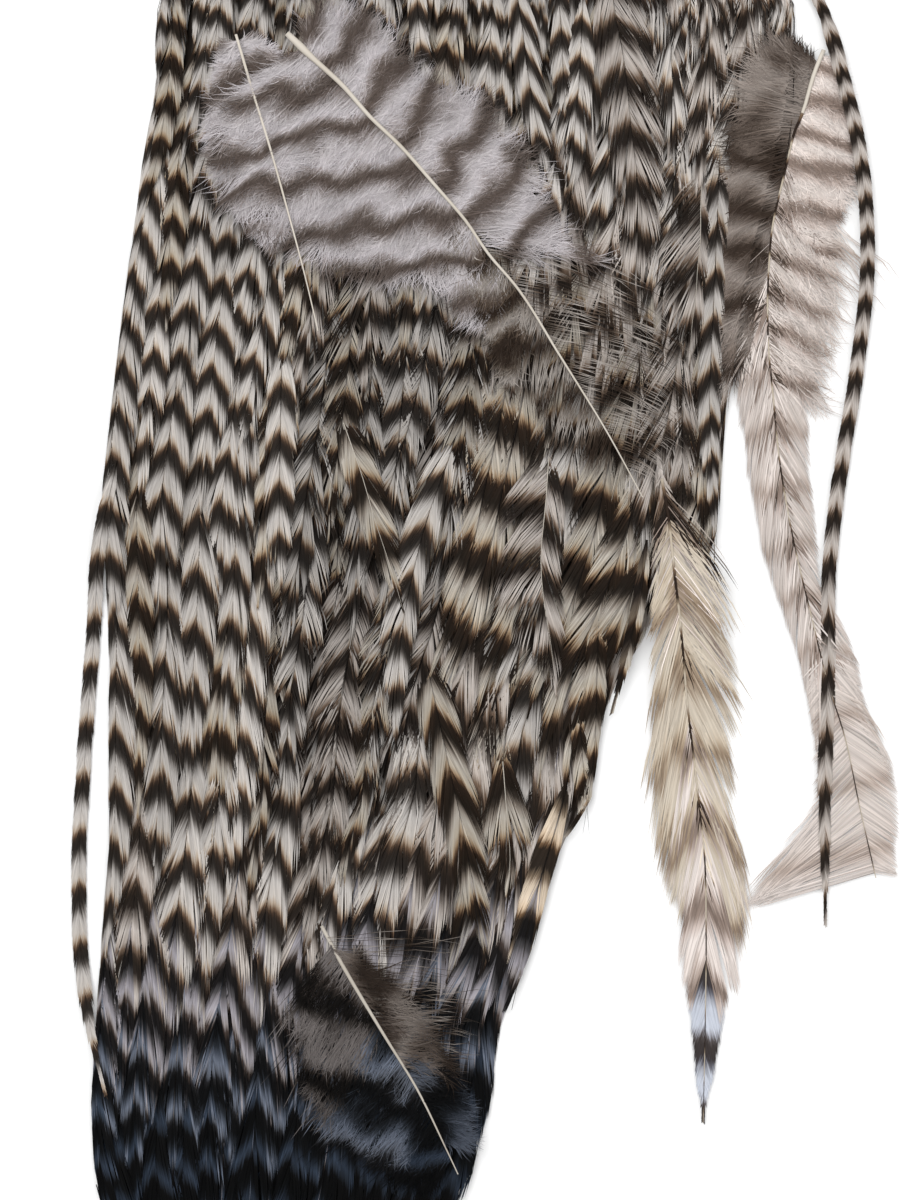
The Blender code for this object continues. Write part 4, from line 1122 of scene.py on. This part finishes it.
class Vane:
    """One side of a loose feather: how far its outline stands from the shaft, and the phase of its bars. Its
    angles are in degrees from the shaft, as one number or a table of (length along the shaft, angle)."""

    def __init__(self, piece, shaft, side, width_of, phase_of, rng):
        self.piece, self.shaft, self.side = piece, shaft, side
        self.width_of, self.phase_of, self.rng = width_of, phase_of, rng

    def reached(self, roots, angle, step=0.3, most=45):
        """How far out each barb meets the outline, and how far it runs on for each millimetre outwards."""
        degrees = np.interp(roots, *np.array(angle, float).T) if isinstance(angle, list) else angle
        lead = 1 / np.tan(np.radians(degrees))
        reached = np.full(len(roots), step)
        inside = np.ones(len(roots), bool)
        for width in np.arange(step, most, step):
            inside &= self.width_of(np.minimum(roots + width * lead, self.shaft.length)) >= width
            reached[inside] = width
        return reached, lead

    def patch(self, start, stop, kind, angle, density, slope=0.0, tone=0.5, tone_spread=0.12, clump=6,
              pull=0.4, ragged=0.06, angle_spread=0.05, least=0.3, uneven=0.0, inner=1.0, **how):
        """Barbs between two lengths along the shaft, ending at a share, inner, of the way to the outline."""
        rng, shaft = self.rng, self.shaft
        roots = spread(rng, start, stop, density)
        width, lead = self.reached(roots, angle)
        width = width * inner
        ends = roots + width * lead * rng.normal(1, angle_spread, len(roots))
        ends = np.minimum(ends, shaft.length + rng.uniform(-1, 1, len(roots)))
        ends, group = clumped(ends, rng, clump, pull)
        ends = np.maximum(ends, roots + least)
        width = width * rng.normal(1, ragged, len(roots))
        width = width * rng.normal(1, ragged, group.max() + 1)[group]

        def paint(line, s, lateral, at):
            phases = self.phase_of(line, s) - slope * lateral / SLOPE_LENGTH
            phases = phases + rng.normal(0, 0.03, (len(at), 1))
            if uneven:
                spots = line.at(s)[..., :2] + line.across(s) * (self.side * lateral)[..., None]
                phases = phases + uneven * ripple(spots[..., 0], spots[..., 1])
            return phases, rows_of(kind, np.clip(rng.normal(tone, tone_spread, len(at)), 0, 1))

        barbs(self.piece, shaft, self.side, roots, ends - roots, np.maximum(width, 0.1), paint, rng,
              full_width=max(float(width.max()), 1), **how)

    def fuzz(self, start, stop, kind, amount, angle, slope=0.0, hair=(2.5, 4.5), astray=22, tuft=1.6,
             tuft_astray=12, tone=0.5, uneven=0.08, ribbon=0.16, edge=1.0, power=1.15, lift=0.5):
        """Short fine hairs over the vane, along its barbs but astray from them, in tufts."""
        rng, shaft = self.rng, self.shaft
        roots = rng.uniform(start, stop, amount)
        t = edge * rng.random(amount) ** 0.75
        width, lead = self.reached(roots, angle)
        tufts = np.floor(roots / tuft).astype(int) * 7 + np.floor(t * 5).astype(int)
        draws = rng.normal(0, 1, (tufts.max() + 1, 3))[tufts]
        s = roots + width * lead * t
        lateral = width * (1 - (1 - t) ** power)
        heading = np.arctan2(width * power * (1 - t) ** (power - 1), width * lead)
        heading = heading + np.radians(rng.normal(0, astray, amount) + draws[:, 0] * tuft_astray)
        length = rng.uniform(*hair, amount)
        bend = np.radians(rng.normal(0, 18, amount))
        turned = heading[:, None] + bend[:, None] * HAIR_PLACES
        s = s[:, None] + length[:, None] * HAIR_PLACES * np.cos(turned)
        lateral = np.maximum(lateral[:, None] + length[:, None] * HAIR_PLACES * np.sin(turned), 0)
        lines = shaft.at(s)
        lines[..., :2] += shaft.across(s) * (self.side * lateral)[..., None]
        lines[..., 2] += (rng.uniform(0, 0.3, (amount, 1)) + 0.12 * draws[:, 1:2]
                          + lift * rng.random((amount, 1)) * HAIR_PLACES)
        lines[..., 2] = np.maximum(lines[..., 2], ground(lines[..., 0], lines[..., 1]) + HAIR_CLEARANCE)
        halves = 0.5 * ribbon * HAIR_TAPER * rng.uniform(0.7, 1.3, (amount, 1))
        phases = self.phase_of(shaft, s) - slope * lateral / SLOPE_LENGTH + rng.normal(0, 0.05, (amount, 1))
        phases = phases + uneven * ripple(lines[..., 0], lines[..., 1])
        tones = np.clip(tone + 0.07 * draws[:, 2] + rng.normal(0, 0.1, amount), 0, 1)
        self.piece.ribbons(lines, halves, phases, rows_of(kind, tones), rng.normal(0, 0.3, amount))


def vanes(piece, shaft, facts, bars_of, rng):
    """The left and right vane of a feather. bars_of makes the phase of its bars from their places."""
    pair = []
    for side, name in ((-1, "left"), (1, "right")):
        phase_of = bars_of(facts.get(name + "_bars", facts.get("bars")))
        pair.append(Vane(piece, shaft, side, width_to(shaft, facts[name], side), phase_of, rng))
    return pair


def rachis(piece, shaft, rise, radii, row, phase_of=None, count=40, sides=6, start=-1, stop=1000):
    """A feather's shaft as a tube from start to stop. radii is a table of (length along it, radius)."""
    places = np.linspace(0, shaft.length, count)
    places = places[(places > start) & (places < stop)]
    centres = shaft.at(places)
    centres[:, 2] += rise(places) if callable(rise) else rise
    phases = phase_of(shaft, places) if phase_of else places / 20
    piece.tube(centres, np.interp(places, *np.array(radii, float).T), phases, row, sides)


def narrow_hackle(name, facts, rng, kinds=("crisp", "crisp"), lift=0.5):
    """A slim barred hackle that lies apart from the coat."""
    piece = Piece(name)
    shaft = laid(facts["shaft"], lift, facts.get("rise", ((0, 0), (-200, 0))))
    phase = bars_down(facts["bars"])

    def width_of(s):
        return np.interp(s / shaft.length, *np.array(facts["half_widths"], float).T)

    for side, kind, slope in zip((-1, 1), kinds, facts["slopes"]):
        aside = side * 0.5 * facts.get("aside", 0)
        vane = Vane(piece, shaft, side, width_of, lambda line, s: phase(line, s) + aside, rng)
        vane.patch(0, shaft.length - 0.5, kind, 11, 2.8, slope, ribbon=0.3, power=1.2, camber=0.3,
                   lift=0.03, clump=9, pull=0.15, ragged=0.03, tilt=0.12, tone_spread=0.08)
    radii = [(0, 0.3), (shaft.length, 0.06)]
    rachis(piece, shaft, 0.06, radii, rows_of(kinds[0], 0.45), phase, count=60, sides=5)
    return piece


def pale_hackle(rng):
    """The cream hackle at the right, with faint bars, dark dashes on its shaft and a slender slate tip."""
    piece = Piece("pale_hackle_vanes")
    shaft = laid(PALE_HACKLE["shaft"], 0.75)
    length = shaft.length
    fine = dict(power=1.2, tilt=0.12)
    for vane in vanes(piece, shaft, PALE_HACKLE, bars_down, rng):
        vane.patch(-6, 13, "soft", 24, 3.2, 0.9, ribbon=0.26, clump=7, ragged=0.1, angle_spread=0.1,
                   tone=0.6, **fine)
        vane.patch(4, 30, "blush", 30, 1.0, 0.9, ribbon=0.2, clump=4, pull=0.3, ragged=0.1,
                   angle_spread=0.12, tone=0.44, lift=0.2, **fine)
        for density, lift, tone, pull, angle in ((3.4, 0.06, 0.48, 0.3, 14), (1.7, 0.16, 0.54, 0.6, 17)):
            vane.patch(8, length - 60, "pale", [(0, 40), (14, 34), (28, 22), (42, angle)], density, 0.6,
                       ribbon=0.32, clump=16, pull=pull, ragged=0.09, angle_spread=0.07, tone=tone,
                       tone_spread=0.08, lift=lift, camber=0.5, uneven=0.22, **fine)
        vane.patch(26, length - 50, "dash", 12, 1.8, 0.5, ribbon=0.24, pull=0.3, ragged=0.2, tone=0.8,
                   tone_spread=0.1, inner=0.24, lift=0.08, camber=0.0, **fine)
        vane.patch(length - 82, length - 33, "blush", 14, 3.6, 0.5, ribbon=0.32, clump=16, ragged=0.08,
                   tone=0.38, tone_spread=0.07, lift=0.1, camber=0.45, uneven=0.16, **fine)
        for angle in (11, 17):
            vane.patch(length - 34, length - 0.6, "slate", angle, 3.4, 0.2, ribbon=0.32, clump=14, pull=0.2,
                       ragged=0.03, camber=0.3, tone=0.52, tone_spread=0.05, **fine)
    dashes = bars_down(PALE_HACKLE["dashes"])
    radii = [(0, 0.34), (length, 0.06)]
    rachis(piece, shaft, 0.12, radii, rows_of("dash", 0.5), lambda line, s: dashes(line, s) + 0.02, count=90)
    return piece


def side_downy(rng):
    """The downy feather at the right: smoky fluff on the coat, a blush vane beside it, a fan at its tip."""
    piece = Piece("side_downy_vanes")
    shaft = laid(SIDE_DOWNY["shaft"], 0.7)
    length = shaft.length
    left, right = vanes(piece, shaft, SIDE_DOWNY, bars_down, rng)
    swept = [(0, 116), (6, 98), (14, 70), (24, 50), (50, 40)]
    fluffy = dict(stations=5, wave=0.35, waves=1.5, ribbon=0.22, angle_spread=0.12, air=0.3, tilt=0.15,
                  lift=0.12)
    strands = dict(hair=(4, 9), ribbon=0.12)
    left.patch(3, 54, "smoke", swept, 8, clump=9, pull=0.5, uneven=0.14, least=-20, ragged=0.16, **fluffy)
    left.fuzz(3, 44, "smoke", 6500, swept, tone=0.52, uneven=0.16, edge=0.86)
    left.fuzz(4, 58, "smoke", 2400, swept, tone=0.66, uneven=0.16, edge=1.1, astray=8, tuft_astray=10,
              **strands)
    left.patch(40, 68, "veil", 33, 3.2, ribbon=0.14, clump=5, pull=0.5, ragged=0.16, angle_spread=0.12,
               tone=0.4, tone_spread=0.14, power=1.2, uneven=0.1, lift=0.12)
    right.patch(2, 34, "blush", [(0, 78), (20, 62), (40, 45)], 11, -0.1, clump=16, pull=0.3, tone=0.42,
                uneven=0.08, ragged=0.08, **fluffy)
    right.fuzz(1, 34, "blush", 4500, [(0, 75), (20, 60), (40, 45)], -0.1, tone=0.44, edge=0.84, ribbon=0.12)
    layers = (("veil", 1.0, 0.44, 0.0), ("blush", 0.78, 0.36, 0.3), ("smoke", 0.4, 0.9, 0.35))
    for kind, inner, tone, air in layers:
        right.patch(24, 68, kind, 36, 6, 0.55, ribbon=0.22, clump=9, pull=0.55, ragged=0.2,
                    angle_spread=0.12, tone=tone, tone_spread=0.1, wave=0.2, stations=5, inner=inner,
                    uneven=0.12, air=air, lift=0.12)
    for kind, amount, edge in (("veil", 700, 1.05), ("blush", 900, 0.7)):
        right.fuzz(26, 64, kind, amount, 36, 0.55, tone=0.42, edge=edge, astray=7, tuft_astray=8,
                   uneven=0.12, **strands)
    slim = dict(power=1.2, tilt=0.12, uneven=0.1)
    for vane, angle, start in ((left, 17, 46), (right, 22, 60)):
        vane.patch(start, 131, "veil", angle, 4.2, 0.4, ribbon=0.3, clump=12, pull=0.2, ragged=0.03,
                   tone=0.4, tone_spread=0.07, lift=0.12, **slim)
        vane.patch(start, 126, "blush", angle, 3.6, 0.9, ribbon=0.28, ragged=0.16, tone=0.36,
                   tone_spread=0.09, inner=0.6, lift=0.2, **slim)
        vane.patch(start, 122, "smoke", angle, 3.4, 1.1, ribbon=0.26, ragged=0.25, tone=0.92,
                   tone_spread=0.1, inner=0.34, lift=0.12, **slim)
    fan = dict(power=1.1, tilt=0.12, lift=0.12)
    lobe = Vane(piece, shaft, -1, width_to(shaft, SIDE_DOWNY["lobe"], -1), left.phase_of, rng)
    lobe.patch(124, length - 1, "veil", 54, 6.0, ribbon=0.22, clump=5, pull=0.35, ragged=0.05,
               angle_spread=0.03, tone=0.46, tone_spread=0.14, **fan)
    right.patch(118, length - 1, "veil", 42, 6.0, ribbon=0.24, clump=9, pull=0.15, ragged=0.02,
                angle_spread=0.02, tone=0.48, **fan)
    radii = np.array([(0, 0.5), (12, 0.4), (22, 0.24), (length, 0.1)])
    rachis(piece, shaft, 0.25, radii, rows_of("shaft", 0.5), lambda line, s: 0.02 * s, count=90, stop=15)
    dashes = bars_down(SIDE_DOWNY["dashes"])
    rachis(piece, shaft, 0.25, radii * (1, 0.95), rows_of("dash", 0.5), dashes, count=90, start=12)
    return piece


def loose_downy(rng):
    """The big loose feather across the coat: barred down at its root, thin combed barbs towards its tip."""
    piece = Piece("loose_downy_vanes")
    shaft = laid(LOOSE_DOWNY["shaft"], 1.0)
    left, right = vanes(piece, shaft, LOOSE_DOWNY, bars_every, rng)
    left_angle = [(0, 105), (15, 88), (35, 76), (60, 60), (75, 50)]
    right_angle = [(0, 118), (12, 102), (25, 84), (40, 68), (60, 50)]
    for vane, angle, slope, stop in ((left, left_angle, -0.6, 58), (right, right_angle, -0.2, 54)):
        vane.patch(4, stop, "down", angle, 8, slope, clump=22, pull=0.45, tone=0.44, tone_spread=0.08,
                   ribbon=0.24, angle_spread=0.12, uneven=0.12, wave=0.7, waves=1.7, air=0.4, **DOWNY)
        vane.fuzz(4, stop, "down", 13000, angle, slope, uneven=0.16, edge=0.82, ribbon=0.13)
        vane.fuzz(4, stop + 6, "down", 4500, angle, slope, uneven=0.16, hair=(4.5, 9), astray=13,
                  tuft_astray=16, ribbon=0.1, tuft=2.4)
    combed = dict(stations=5, lift=0.1, tilt=0.15)
    left.patch(50, 104, "web", 40, 4.0, -0.35, ribbon=0.15, clump=7, pull=0.45, ragged=0.14,
               angle_spread=0.1, wave=0.3, power=1.3, uneven=0.15, **combed)
    left.fuzz(48, 74, "web", 2200, 46, -0.35, tone=0.58, uneven=0.2, edge=0.9)
    right.patch(50, 110, "web", 36, 2.0, -0.1, ribbon=0.12, clump=3, pull=0.2, tone=0.66, ragged=0.1,
                angle_spread=0.06, wave=0.25, power=1.5, uneven=0.25, **combed)
    radii = [(0, 0.6), (4, 0.8), (8, 0.55), (25, 0.4), (60, 0.3), (shaft.length, 0.12)]
    rachis(piece, shaft, 0.45, radii, rows_of("shaft", 0.42), count=60, sides=8)
    return piece


def loose_thin(rng):
    """The thin loose feather at the left, with barred down about its upper half."""
    piece = Piece("loose_thin_vanes")
    shaft = laid(LOOSE_THIN["shaft"], 1.8)
    angle = [(0, 80), (10, 60), (40, 44)]
    for vane, slope in zip(vanes(piece, shaft, LOOSE_THIN, bars_every, rng), (0.4, 0.1)):
        vane.patch(1, 38, "down", angle, 7, slope, clump=14, pull=0.3, tone=0.4, tone_spread=0.08,
                   ribbon=0.22, ragged=0.1, angle_spread=0.14, uneven=0.1, wave=0.6, waves=1.6, air=0.3,
                   **DOWNY)
        vane.fuzz(1, 38, "down", 5000, angle, slope, tone=0.48, uneven=0.14, edge=0.86)
    rachis(piece, shaft, 1.5, [(0, 0.3), (10, 0.3), (shaft.length, 0.12)], rows_of("shaft", 0.5))
    return piece


def loose_lower(rng):
    """The soft loose feather near the lower end, smooth to its left and combed thin to its right."""
    piece = Piece("loose_lower_vanes")
    shaft = laid(LOOSE_LOWER["shaft"], 0.8)
    left, right = vanes(piece, shaft, LOOSE_LOWER, bars_every, rng)
    inner = Vane(piece, shaft, 1, width_to(shaft, LOOSE_LOWER["inner"], 1), left.phase_of, rng)
    # Painted shadow over the lower end: the left vane goes from shaded grey into shadow and near black, and
    # the inner vane's lower stretch is in shadow.
    stretches = [
        (left, 58, 0.2, "shaded_grey", 4, 24, 0.5), (left, 58, 0.2, "shadow", 22, 46, 0.56),
        (left, 58, 0.2, "deep_shadow", 45, 54, 0.4), (inner, 46, 0.36, "smoke", 5, 33, 0.12),
        (inner, 46, 0.36, "shadow", 30, 50, 0.2),
    ]
    for vane, angle, ragged, kind, start, stop, tone in stretches:
        vane.patch(start, stop, kind, angle, 7, -0.5, tone=tone, ragged=ragged, ribbon=0.2, clump=14,
                   pull=0.35, tone_spread=0.08, wave=0.3, angle_spread=0.2, uneven=0.16, stations=5,
                   lift=0.12, power=1.15)
        vane.fuzz(start, stop, kind, 900, angle, -0.5, tone=tone, uneven=0.2, hair=(3, 6), astray=14,
                  ribbon=0.1, edge=1.05)
    right.patch(2, 30, "web", 56, 1.7, -0.25, ribbon=0.1, clump=4, tone=0.34, wave=0.8, waves=2.2,
                ragged=0.12, angle_spread=0.16, uneven=0.4, stations=6, lift=0.12, power=1.15)
    radii = [(0, 0.4), (9, 0.42), (shaft.length, 0.12)]
    rachis(piece, shaft, lambda s: 0.3 - 1.6 * np.clip(1 - s / 9, 0, 1), radii, rows_of("shaft", 0.26))
    return piece


# The view and the whole pelt

def light_and_view():
    """The floor, the room's light with two lamps, and the camera straight above."""
    bpy.ops.mesh.primitive_plane_add(size=4, location=(0, 0, -0.0003))
    floor = bpy.context.object
    floor.name = "floor"
    nodes = Nodes("pale_floor", 0.8)
    nodes.shader.inputs["Base Color"].default_value = (0.86, 0.86, 0.86, 1)
    floor.data.materials.append(nodes.material)
    world = bpy.data.worlds.new("studio")
    world.use_nodes = True
    world.node_tree.nodes["Background"].inputs[0].default_value = (1, 1, 1, 1)
    world.node_tree.nodes["Background"].inputs[1].default_value = ROOM_LIGHT
    bpy.context.scene.world = world
    for name, (place, size, power) in LAMPS.items():
        light = bpy.data.lights.new(name, "AREA")
        light.size = size
        light.energy = power
        lamp = bpy.data.objects.new(name, light)
        lamp.location = place
        lamp.rotation_euler = (LIT_POINT - Vector(place)).to_track_quat("-Z", "Y").to_euler()
        bpy.context.scene.collection.objects.link(lamp)
    lens = bpy.data.cameras.new("camera")
    lens.lens = CAMERA_LENS
    lens.clip_start = 0.01
    camera = bpy.data.objects.new("camera", lens)
    camera.location = CAMERA_PLACE
    bpy.context.scene.collection.objects.link(camera)
    bpy.context.scene.camera = camera
    bpy.context.scene.view_settings.view_transform = "Standard"


def main():
    rng = np.random.default_rng(SEED)
    materials = {slot: feather_material(slot, kinds) for slot, kinds in SLOT_KINDS.items()}
    light_and_view()
    coat = coat_columns(rng) + [outstanding_hackles(rng), bottom_hackles(rng), under_down()]
    made = [(piece, "hackle_coat", "barred_hackle") for piece in coat]
    made += [
        (narrow_hackle("left_stray_vanes", LEFT_STRAY, rng), "left_stray_hackle", "barred_hackle"),
        (narrow_hackle("right_long_vanes", RIGHT_LONG, rng, ("soft", "soft"), 1.1), "right_long_hackle",
         "barred_hackle"),
        # Its left vane is painted shade: its bars are a darker, muted copy of the warm ones.
        (narrow_hackle("short_dark_vanes", SHORT_DARK, rng, ("umber", "warm")), "short_dark_hackle",
         "barred_hackle"),
        (pale_hackle(rng), "pale_hackle", "pale_feather"),
        (side_downy(rng), "side_downy_feather", "side_down"),
        (loose_downy(rng), "loose_downy_feather", "grey_down"),
        (loose_thin(rng), "loose_thin_feather", "grey_down"),
        (loose_lower(rng), "loose_lower_feather", "grey_down"),
    ]
    for piece, node, slot in made:
        shown = piece.make(materials[slot])
        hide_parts(node)
    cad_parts["skin"].data.materials.clear()
    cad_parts["skin"].data.materials.append(skin_material())


main()
